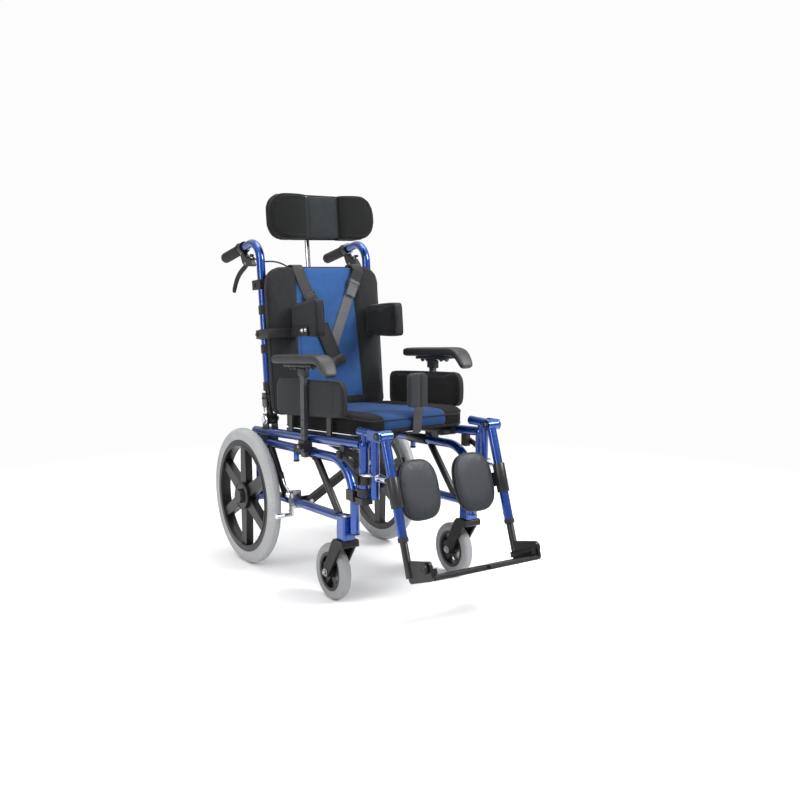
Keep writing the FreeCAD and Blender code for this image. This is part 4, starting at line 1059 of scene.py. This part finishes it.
# --------------------------------------------------------- moulded parts
for s, m in (("r", -1), ("l", 1)):
    # push-handle grips: ribbed sleeve with a flange and a rounded end
    prof = [(0, 0.0126), (0, 0.0185), (0.0025, 0.0195), (0.0055, 0.0185), (0.007, 0.0158)]
    z = 0.0085
    while z < 0.108:
        prof += [(z, 0.0150), (z + 0.0012, 0.0161), (z + 0.0036, 0.0161), (z + 0.0048, 0.0150)]
        z += 0.0056
    prof += [(0.1105, 0.0160), (0.1140, 0.0158), (0.1165, 0.0146), (0.1178, 0.0120), (0.1180, 0.0060), (0.1180, 0.0)]
    a = HD(180 * m, 127.25, 0)
    g = make("grip_ribbed_" + s, *p_lathe(prof, a, HD(180 * m, 245, 0) - a, 40), "grip_rubber", sharp=60)
    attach(g, "back_" + s)
    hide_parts("grip_" + s)
    # brake lever: a hooked blade, thick at the knuckle
    spine = [(88, 50, 7.0, 3.5), (97, 51.0, 8.4, 3.6), (110, 56.5, 8.4, 3.7), (128, 60.5, 8.2, 4.6), (150, 66, 8.2, 5.2), (170, 74.5, 8.2, 5.4), (187, 87, 8.0, 5.4),
             (200, 100, 7.6, 5.3), (208, 110, 7.6, 5.2), (212, 115.0, 5.6, 4.4)]
    verts, faces, seg = [], [], 16
    for i, (al, be, hh, hx) in enumerate(spine):
        p0, p1 = spine[max(i - 1, 0)], spine[min(i + 1, len(spine) - 1)]
        t = Vector((p1[0] - p0[0], p1[1] - p0[1])).normalized()
        nrm = Vector((-t.y, t.x))
        for k in range(seg):
            c, q = math.cos(2 * math.pi * k / seg), math.sin(2 * math.pi * k / seg)
            e = lambda v: math.copysign(abs(v) ** 0.7, v)
            verts.append(HD(180 * m + hx * e(c), al + nrm.x * hh * e(q), be + nrm.y * hh * e(q)))
    for i in range(len(spine) - 1):
        for k in range(seg):
            q = (k + 1) % seg
            faces.append((i * seg + k, i * seg + q, (i + 1) * seg + q, (i + 1) * seg + k))
    faces += [tuple(range(seg - 1, -1, -1)), tuple((len(spine) - 1) * seg + k for k in range(seg))]
    lev = make("brake_lever_formed_" + s, verts, faces, "black_plastic")
    lev.data.materials[0] = MATS["black_plastic"]
    sub = lev.modifiers.new("fine", "SUBSURF")
    sub.levels = sub.render_levels = 2
    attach(lev, "lever_" + s)
    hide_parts("brake_lever_" + s)
    # lever pin heads and cable adjuster
    for q in (7, -7):
        put("back_" + s, "steel", p_dome(HD(180 * m + q, 97, 50), Vector((q, 0, 0)), 0.0036, 0.0018))
    put("back_" + s, "steel", p_ring(HD(180 * m, 72, 33.2), HD(180 * m, 66.5, 33), 0.0048, 0.0030))
    put("back_" + s, "black_plastic", p_lathe([(0, 0.0026), (0, 0.0040), (0.006, 0.0042), (0.014, 0.0032), (0.014, 0.0026)], HD(180 * m, 66, 33), HD(180 * m, 50, 36) - HD(180 * m, 66, 33), 20))
    # perch clamp screw
    put("back_" + s, "steel", p_bolt(HD(180 * m + 8 * m, 113, 17), Vector((m, 0, 0)), 0.0036, 0.003, washer=False, socket=True))

    # arm pads
    path = [(118.5, 617.8, 5.0, 16), (118, 617.8, 9.0, 21.0), (115, 618, 12.0, 23.6), (108, 618.6, 13.0, 24.5), (60, 622, 13.0, 24.5), (0, 626, 13.0, 24.5), (-60, 630, 13.0, 24.5),
            (-104, 633.2, 13.0, 24.5), (-124, 633.4, 12.9, 24.4), (-139, 628.0, 12.2, 24.0), (-150, 618.5, 11.2, 23.2), (-158.5, 608.0, 10.2, 22.0), (-165, 599.0, 9.3, 20.5), (-168.5, 594.2, 7.5, 17.5), (-170, 592.3, 4.5, 12)]
    verts, faces, seg = [], [], 28
    for i, (y, z, hh, hw) in enumerate(path):
        p0, p1 = path[max(i - 1, 0)], path[min(i + 1, len(path) - 1)]
        t = Vector((p1[0] - p0[0], p1[1] - p0[1])).normalized()
        nrm = Vector((t.y, -t.x))
        for k in range(seg):
            c, q = math.cos(2 * math.pi * k / seg), math.sin(2 * math.pi * k / seg)
            e = lambda v, w: math.copysign(abs(v) ** w, v)
            verts.append(W(m * (218.5 + hw * e(c, 0.55)), y + nrm.x * hh * e(q, 0.55), z + nrm.y * hh * e(q, 0.55)))
    for i in range(len(path) - 1):
        for k in range(seg):
            q = (k + 1) % seg
            faces.append((i * seg + k, i * seg + q, (i + 1) * seg + q, (i + 1) * seg + k))
    faces += [tuple(range(seg - 1, -1, -1)), tuple((len(path) - 1) * seg + k for k in range(seg))]
    ap = make("arm_pad_moulded_" + s, verts, faces, "pu_pad")
    sub = ap.modifiers.new("fine", "SUBSURF")
    sub.levels = sub.render_levels = 2
    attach(ap, "arm_" + s)
    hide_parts("arm_pad_" + s)
    # bracket under the arm pad, with its bolts
    put("arm_" + s, "black_plastic", p_box((min(m * 202, m * 235), -92, 605.5), (max(m * 202, m * 235), 60, 613.4), 0.0025, 3, TILT))
    for y in (-74, -48, 20, 44):
        put("arm_" + s, "black_plastic", p_cyl(TILT @ W(m * 218, y, 606.5), TILT @ W(m * 218, y, 600.5), 0.0065, 0.0012))
        put("arm_" + s, "dark_steel", p_bolt(TILT @ W(m * 218, y, 600.6), Vector((0, 0, -1)), 0.0042, 0.003, washer=False))
    put("arm_" + s, "black_plastic", p_box((min(m * 203, m * 221), -33, 580), (max(m * 203, m * 221), 3, 604), 0.0030, 3))

    # calf pad back shell
    sh = []
    for n_, k_ in ((17.5, 0.985), (20, 1.0), (24, 0.99), (28, 0.93), (30, 0.82)):
        sh.append((n_, k_))
    verts, faces, seg = [], [], 72
    for n_, k_ in sh:
        verts += [LG(86 * m + x * m, n_, 140 - z) for x, z in oblong(59.5 * k_, 76.5 * k_)]
    for i in range(len(sh) - 1):
        for k in range(seg):
            q = (k + 1) % seg
            faces.append((i * seg + k, i * seg + q, (i + 1) * seg + q, (i + 1) * seg + k))
    faces += [tuple(range(seg)), tuple((len(sh) - 1) * seg + k for k in range(seg - 1, -1, -1))]
    shell = make("calf_shell_" + s, verts, faces, "black_plastic", sharp=50)
    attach(shell, "calf_" + s)

    # trunk guide: plate, clamp round the cane, two screws
    x1 = LATERAL[s][1]
    bx = lambda a, b, y0, y1: p_box((min(m * a, m * b), y0, 234), (max(m * a, m * b), y1, 260), 0.0018, 3, M_BACK)
    lat_parts = [p_ring(BK(m * 180, 0, 232), BK(m * 180, 0, 262), 0.0172, 0.0130, 0.0012, 40), bx(194, 205, -9, 9), bx(200, 205.2, -72.2, 9.2),
                 bx(x1 + 1, 205.2, -72.4, -67.0), bx(x1 - 0.4, x1 + 4.2, -170, -67.2)]
    verts, faces = [], []
    for part in lat_parts:
        base = len(verts)
        verts += part[0]
        faces += [tuple(i + base for i in f) for f in part[1]]
    lp = make("lateral_bracket_" + s, verts, faces, "black_plastic", sharp=40)
    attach(lp, "lateral_" + s)
    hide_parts("lateral_pad_" + s)
    for y in (-140, -161):
        put("lateral_" + s, "chrome", p_bolt(BK(m * (x1 + 4.0), y, 250), Vector((m, 0, 0)), 0.0046, 0.0032, washer=True, socket=True))
    put("lateral_" + s, "dark_steel", p_bolt(BK(m * 205.0, 0, 247), Vector((m, 0, 0)), 0.0048, 0.0035))

    # rear tyre: round shoulders, two running grooves and fine ribs across the tread
    c0 = W(m * 234, 305, 200)
    prof = [(-14.6, 166.2), (-16.6, 168.5), (-17.6, 173), (-18.0, 179), (-17.6, 185), (-16.2, 190.2), (-13.6, 194.6), (-10.2, 197.6), (-7.2, 199.0), (-6.4, 198.2), (-5.6, 199.3),
            (-2.5, 199.9), (0, 200.0), (2.5, 199.9), (5.6, 199.3), (6.4, 198.2), (7.2, 199.0), (10.2, 197.6), (13.6, 194.6), (16.2, 190.2), (17.6, 185), (18.0, 179), (17.6, 173), (16.6, 168.5), (14.6, 166.2)]
    ribs, per = 190, 4
    N, k = ribs * per, len(prof)
    verts, faces = [], []
    for i in range(N):
        ca, sa = math.cos(2 * math.pi * i / N), math.sin(2 * math.pi * i / N)
        low = 1.0 if i % per in (0, 1) else 0.0
        for x, r in prof:
            depth = 2.3 * low if 184 < r < 198.1 and abs(x) > 7 else 0.0
            f = 1.0 - depth / 200.0
            verts.append(c0 + W(m * x * (1 - 0.03 * (depth > 0)), r * f * ca, r * f * sa))
    for i in range(N):
        a, b = i * k, ((i + 1) % N) * k
        for j in range(k - 1):
            faces.append((a + j, a + j + 1, b + j + 1, b + j))
        faces.append((a + k - 1, a, b, b + k - 1))
    ty = make("rear_tyre_tread_" + s, verts, faces, "grey_tyre", sharp=40)
    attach(ty, "wheel_" + s)
    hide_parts("rear_tyre_" + s)
    # hub cover rings and axle nut
    put("wheel_" + s, "rim_plastic", p_lathe([(0, 0.0365), (0, 0.0400), (0.003, 0.0408), (0.006, 0.0390), (0.0065, 0.0365), (0, 0.0365)], W(m * 249, 305, 200), Vector((m, 0, 0)), 48))
    put("wheel_" + s, "black_plastic", p_lathe([(0.0, 0.0), (0, 0.0205), (0.001, 0.0212), (0.0085, 0.0205), (0.0105, 0.0185), (0.0108, 0.012), (0.0098, 0.0105), (0.0098, 0)], W(m * 254, 305, 200), Vector((m, 0, 0)), 40))
    put("wheel_" + s, "rim_plastic", p_lathe([(0, 0.1478), (0, 0.1500), (0.002, 0.1512), (0.004, 0.1500), (0.004, 0.1478), (0, 0.1478)], W(m * 247.5, 305, 200), Vector((m, 0, 0)), 96))

    # castor tyre: smooth round tread
    c1 = W(m * 198, -141, 75)
    prof = [(-12.5, 52), (-14.2, 54), (-15.0, 58), (-15.0, 63), (-14.0, 68), (-11.5, 72), (-7.5, 74.3), (-3.5, 75), (0, 75), (3.5, 75), (7.5, 74.3), (11.5, 72), (14.0, 68), (15.0, 63), (15.0, 58), (14.2, 54), (12.5, 52), (-12.5, 52)]
    ct = make("castor_tyre_round_" + s, *p_lathe([(x * MM, r * MM) for x, r in prof], c1, Vector((1, 0, 0)), 96), "castor_grey")
    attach(ct, "castor_" + s)
    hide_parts("castor_tyre_" + s)
    for q in (-1, 1):
        put("fork_" + s, "steel", p_bolt(W(m * 198 + q * 25.3, -141, 75), Vector((q, 0, 0)), 0.0072, 0.0050))
        put("castor_" + s, "steel", p_ring(c1 + W(q * 13.2, 0, 0), c1 + W(q * 18.4, 0, 0), 0.0105, 0.0056))
    put("fork_" + s, "steel", p_dome(W(m * 198, -207, 237), Vector((0, 0, 1)), 0.013, 0.006))

    # wheel lock: link, bolts and a knurled sleeve on the shoe bar
    x = 205 + 3
    put("lock_" + s, "chrome", p_ring(W(m * 236, 69, 186), W(m * 257.5, 69, 186), 0.0072, 0.0050))
    put("base_" + s, "chrome", p_bolt(W(m * 214.8, 80, 241), Vector((m, 0, 0)), 0.0068, 0.0045))
    put("lock_" + s, "steel", p_bolt(W(m * 211.2, 73, 196), Vector((m, 0, 0)), 0.0048, 0.0035))
    put("lock_" + s, "black_plastic", p_tube(spline([W(m * 208, 122, 278), W(m * 208, 126, 285), W(m * 208, 130, 292), W(m * 208, 131.5, 295)], 4), 0.0056, 14))
    put("base_" + s, "steel", p_bolt(W(m * 204.2, 80, 212), Vector((m, 0, 0)), 0.0048, 0.0035))

    # frame: brace and strut bolts, castor housing rim, axle nut, tube plugs, post cap
    put("base_" + s, "steel", p_bolt(W(m * 165, 305, 200), Vector((-m, 0, 0)), 0.0085, 0.006, washer=False))
    for y, z in ((-40, 362), (-155, 235), (231, 353), (142, 225)):
        put("base_" + s, "dark_steel", p_bolt(W(m * 198.8, y, z), Vector((m, 0, 0)), 0.0040, 0.0028))
    put("base_" + s, "black_plastic", p_lathe([(0, 0), (0, 0.0127), (0.0015, 0.0131), (0.004, 0.0127), (0.004, 0)], W(m * 189, -236, 197.2), Vector((0, 0, -1)), 32))
    put("base_" + s, "blue_paint", p_lathe([(0, 0.0126), (0, 0.0148), (0.009, 0.0148), (0.011, 0.0138), (0.011, 0.0126), (0, 0.0126)], W(m * 184, -274, 424.6), Vector((0, 0, 1)), 36))
    put("base_" + s, "black_plastic", p_box((min(m * 182.5, m * 213.5), -222.5, 173.5), (max(m * 182.5, m * 213.5), -191.5, 177.4), 0.0012, 2))
    put("base_" + s, "chrome", p_bolt(W(m * 197, 251.6, 430), Vector((m, 0, 0)), 0.0105, 0.0055))
    put("base_" + s, "steel", p_bolt(W(m * 161, 251.6, 430), Vector((-m, 0, 0)), 0.0080, 0.0055))
    # spring stub under the middle rail, dark sleeve of the legrest's lower hinge
    put("base_" + s, "blue_paint", p_cyl(W(m * 196, 62, 341), W(m * 196, 62, 366), 0.0078, 0.0012))
    put("base_" + s, "black_plastic", p_cyl(W(m * 196, 62, 336), W(m * 196, 62, 341.5), 0.0086, 0.0012))
    put("hanger_" + s, "black_plastic", p_ring(W(m * 184, -274, 299.4), W(m * 184, -274, 318.6), 0.0182, 0.0131, 0.0014))
    # recline hinge: a plate at the foot of the cane and its two rods
    put("back_" + s, "grey_alloy", p_plate([(-16, 40), (-12, 78), (12, 78), (14, 40), (8, 34), (-10, 34)], m * 192.6, m * 196.4, 0.0008, M_BACK, 4.0))
    for y in (-8, 7):
        put("back_" + s, "chrome", p_cyl(BK(m * 194.5, y, 21.2), BK(m * 194.5, y, 37), 0.0024, 0.0006))
        put("back_" + s, "dark_steel", p_bolt(BK(m * 196.2, y, 62), Vector((m, 0, 0)), 0.0036, 0.0026, washer=False, socket=True))
    # armrest socket: clamp screw with a lobed knob
    put("base_" + s, "black_plastic", p_cyl(W(m * 222.4, -15, 392), W(m * 231.5, -15, 392), 0.0085, 0.002, 12))
    put("base_" + s, "steel", p_cyl(W(m * 231.2, -15, 392), W(m * 233, -15, 392), 0.0042, 0.0008))

    # legrests: pivot caps, chrome stop rod and catch, height screw, footplate knob
    for q, xx in ((1, 191), (-1, 148)):
        put("hanger_" + s, "dark_steel", p_bolt(W(m * xx, -341, 459), Vector((m * q, 0, 0)), 0.0070, 0.004))
    put("hanger_" + s, "chrome", p_cyl(W(m * 172, -316.5, 352), W(m * 172, -355.4, 352), 0.0053, 0.001))
    put("hanger_" + s, "chrome", p_ring(W(m * 172, -316.8, 352), W(m * 172, -320.5, 352), 0.0088, 0.005))
    catch = [W(m * 180, -309, 357.5), W(m * 191, -306, 357.5), W(m * 197, -298, 357), W(m * 198.5, -288, 356.5), W(m * 198.5, -279, 356)]
    put("hanger_" + s, "chrome", p_tube(spline(catch, 5), 0.0034, 12))
    put("hanger_" + s, "black_plastic", p_lathe([(0, 0), (0, 0.0112), (0.0006, 0.0114), (0.0014, 0.0106), (0.0014, 0)], W(m * 172, -306, 296.2), Vector((0, 0, -1)), 28))
    put("hanger_" + s, "black_plastic", p_lathe([(0, 0), (0, 0.0116), (0.002, 0.0118), (0.0038, 0.0104), (0.0038, 0)], W(m * 177, -244.2, 459), Vector((0, 1, 0)), 28))
    put("latch_" + s, "dark_steel", p_bolt(W(m * 212, -196, 392), Vector((m, 0, 0)), 0.0060, 0.0035))
    put("latch_" + s, "grip_rubber", p_tube(spline([W(m * 206.2, -262, 374), W(m * 206.2, -236, 386.5), W(m * 206.2, -214, 393)], 4), 0.0046, 12))
    put("leg_" + s, "black_plastic", p_lathe([(0, 0.0098), (0, 0.0134), (0.010, 0.0134), (0.012, 0.0124), (0.012, 0.0098), (0, 0.0098)], LG(m * 166, 0, 249), LG(m * 166, 0, 262) - LG(m * 166, 0, 249), 36))
    put("leg_" + s, "dark_steel", p_bolt(LG(m * 166, 11.5, 232), (LG(m * 166, 20, 232) - LG(m * 166, 10, 232)), 0.0045, 0.004))
    put("foot_" + s, "black_plastic", p_lathe([(0, 0), (0, 0.0122), (0.0015, 0.0128), (0.008, 0.0128), (0.0105, 0.0105), (0.0105, 0.006), (0.0090, 0.005), (0.0090, 0)], LG(m * 168, -76, 330), Vector((m, 0, 0)), 20))
    put("calf_" + s, "dark_steel", p_bolt(LG(m * 100, 34.5, 134), (LG(0, 40, 134) - LG(0, 30, 134)), 0.0045, 0.0035))
    put("calf_" + s, "dark_steel", p_bolt(LG(m * 100, 34.5, 150), (LG(0, 40, 150) - LG(0, 30, 150)), 0.0045, 0.0035))
    # brace end bolts
    yb = 20 if s == "l" else 45
    q = -1 if s == "l" else 1
    put("base_" + s, "dark_steel", p_bolt(W(m * 165, yb + q * 18.4, 225), Vector((0, q, 0)), 0.0070, 0.0045))

# centre bolt of the cross brace
put("brace_a", "steel", p_bolt(W(0, 3.2, 225 + 191 * math.sin(math.radians(30.4))), Vector((0, -1, 0)), 0.0070, 0.0045))

# headrest bracket behind the pad
verts, faces = [], []
for part in (p_box((-24, -17, 578), (-8.6, 51, 598), 0.0020, 3, M_BACK), p_box((8.6, -17, 578), (24, 51, 598), 0.0020, 3, M_BACK),
             p_box((-25, -17.8, 576), (25, -5, 600), 0.0025, 3, M_BACK), p_box((-44, -20.0, 556), (44, -15.8, 612), 0.0020, 3, M_BACK)):
    base = len(verts)
    verts += part[0]
    faces += [tuple(i + base for i in f) for f in part[1]]
hb = make("headrest_bracket", verts, faces, "black_plastic", sharp=40)
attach(hb, "head")
for q in (-1, 1):
    put("head", "steel", p_bolt(BK(q * 24, 43, 588), Vector((q, 0, 0)), 0.0062, 0.004))
put("head_post", "steel", p_dome(BK(0, 43, 612), BK(0, 43, 620) - BK(0, 43, 612), 0.0069, 0.003))
put("back_r", "black_plastic", p_cyl(BK(0, 54, 392), BK(0, 66, 392), 0.011, 0.002, 14))

for (body, material), (verts, faces) in sorted(KIT.items()):
    o = make("fittings_%s_%s" % (body, material), verts, faces, material, sharp=38)
    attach(o, body)

# ------------------------------------------------- finish of the CAD parts
FINISH = {
    "side_frame": "blue_paint", "cane": "blue_paint", "legrest_hanger": "blue_paint", "leg_tube": "blue_paint",
    "frame_fittings": "black_paint", "brace": "black_paint", "back_fittings": "black_paint", "foot_tube": "black_paint",
    "frame_hardware": "steel", "headrest_post": "chrome", "wheel_lock": "chrome",
    "arm_post": "grey_alloy", "swing_cuff": "black_plastic", "swing_latch": "black_paint", "footplate": "foot_plastic",
    "calf_bracket": "black_paint", "castor_fork": "black_plastic", "castor_hub": "rim_plastic", "rear_rim": "rim_plastic",
}
BEVEL = {"frame_fittings": 0.7, "brace": 0.9, "foot_tube": 1.0, "footplate": 1.2, "castor_fork": 1.2, "rear_rim": 1.0, "castor_hub": 0.8,
         "arm_post": 0.7, "swing_latch": 0.7, "wheel_lock": 0.5, "calf_bracket": 0.7, "frame_hardware": 0.5, "back_fittings": 0.6}
for name, o in NODES.items():
    kind = next((k for k in FINISH if name == k or name.startswith(k + "_")), None)
    if o.hide_render or kind is None:
        continue
    o.data.materials.clear()
    o.data.materials.append(MATS[FINISH[kind]])
    if kind in BEVEL:
        w = o.modifiers.new("weld", "WELD")
        w.merge_threshold = 0.00002
        b = o.modifiers.new("edges", "BEVEL")
        b.width, b.segments, b.limit_method, b.angle_limit = BEVEL[kind] * MM, 2, "ANGLE", math.radians(38)
        b.use_clamp_overlap, b.harden_normals = True, False

for o, anchor in SQUASH:
    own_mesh(o)

# ------------------------------------------------------------------- stage
world = bpy.data.worlds.new("studio")
SCENE.world = world
world.use_nodes = True
n = Nodes(world.node_tree)
world.node_tree.nodes.clear()
seen = n("Background", {"Color": (1.0, 1.0, 1.0, 1.0), "Strength": 0.98})
# the room that lights and mirrors: bright overhead, greyer round the sides
up = n("SeparateXYZ", {0: n("TexCoord").outputs["Generated"]}).outputs[2]
glow = n("MapRange", {0: up, 1: 0.0, 2: 0.78, 3: 0.22, 4: 1.02}, interpolation_type="SMOOTHSTEP").outputs[0]
room = n("Background", {"Color": (1.0, 1.0, 1.0, 1.0), "Strength": glow})
both = n("MixShader", {0: n("LightPath").outputs["Is Camera Ray"], 1: room.outputs[0], 2: seen.outputs[0]})
world.node_tree.links.new(both.outputs[0], n("OutputWorld").inputs[0])

fl = bpy.data.meshes.new("floor")
R = 60.0
fl.from_pydata([(-R, -R, 0), (R, -R, 0), (R, R, 0), (-R, R, 0)], [], [(0, 1, 2, 3)])
floor = bpy.data.objects.new("floor", fl)
SCENE.collection.objects.link(floor)
fm = bpy.data.materials.new("floor")
fm.use_nodes = True
ft = fm.node_tree
ft.nodes.clear()
n = Nodes(ft)
out = n("OutputMaterial")
co = n("TexCoord").outputs["Object"]
rad = n("VectorMath", {0: co}, operation="LENGTH").outputs["Value"]
fade = n("MapRange", {0: rad, 1: 1.1, 2: 2.4, 3: 0.0, 4: 1.0}, interpolation_type="SMOOTHSTEP").outputs[0]
dif = n("BsdfDiffuse", {"Color": (0.93, 0.93, 0.935, 1)})
emi = n("Emission", {"Color": (1, 1, 1, 1), "Strength": 0.98})
mx = n("MixShader", {0: fade, 1: dif.outputs[0], 2: emi.outputs[0]})
ft.links.new(mx.outputs[0], out.inputs[0])
fl.materials.append(fm)
floor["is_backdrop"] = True


def area(name, at, aim, size, power, size_y=None):
    d = bpy.data.lights.new(name, "AREA")
    d.shape = "RECTANGLE"
    d.size, d.size_y = size, size_y or size
    d.energy = power
    o = bpy.data.objects.new(name, d)
    SCENE.collection.objects.link(o)
    o.location = at
    o.rotation_mode = "QUATERNION"
    o.rotation_quaternion = (Vector(aim) - Vector(at)).to_track_quat("-Z", "Y")
    return o


area("key", (1.5, -2.0, 2.3), (0, 0, 0.5), 1.2, 96)
area("side", (-2.2, -0.8, 1.6), (0, 0, 0.5), 0.7, 27, 1.8)
area("top", (0.2, 0.2, 2.8), (0, 0, 0.5), 1.6, 36)
SCENE.view_settings.view_transform = "Standard"
SCENE.view_settings.look = "None"

lo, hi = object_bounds()
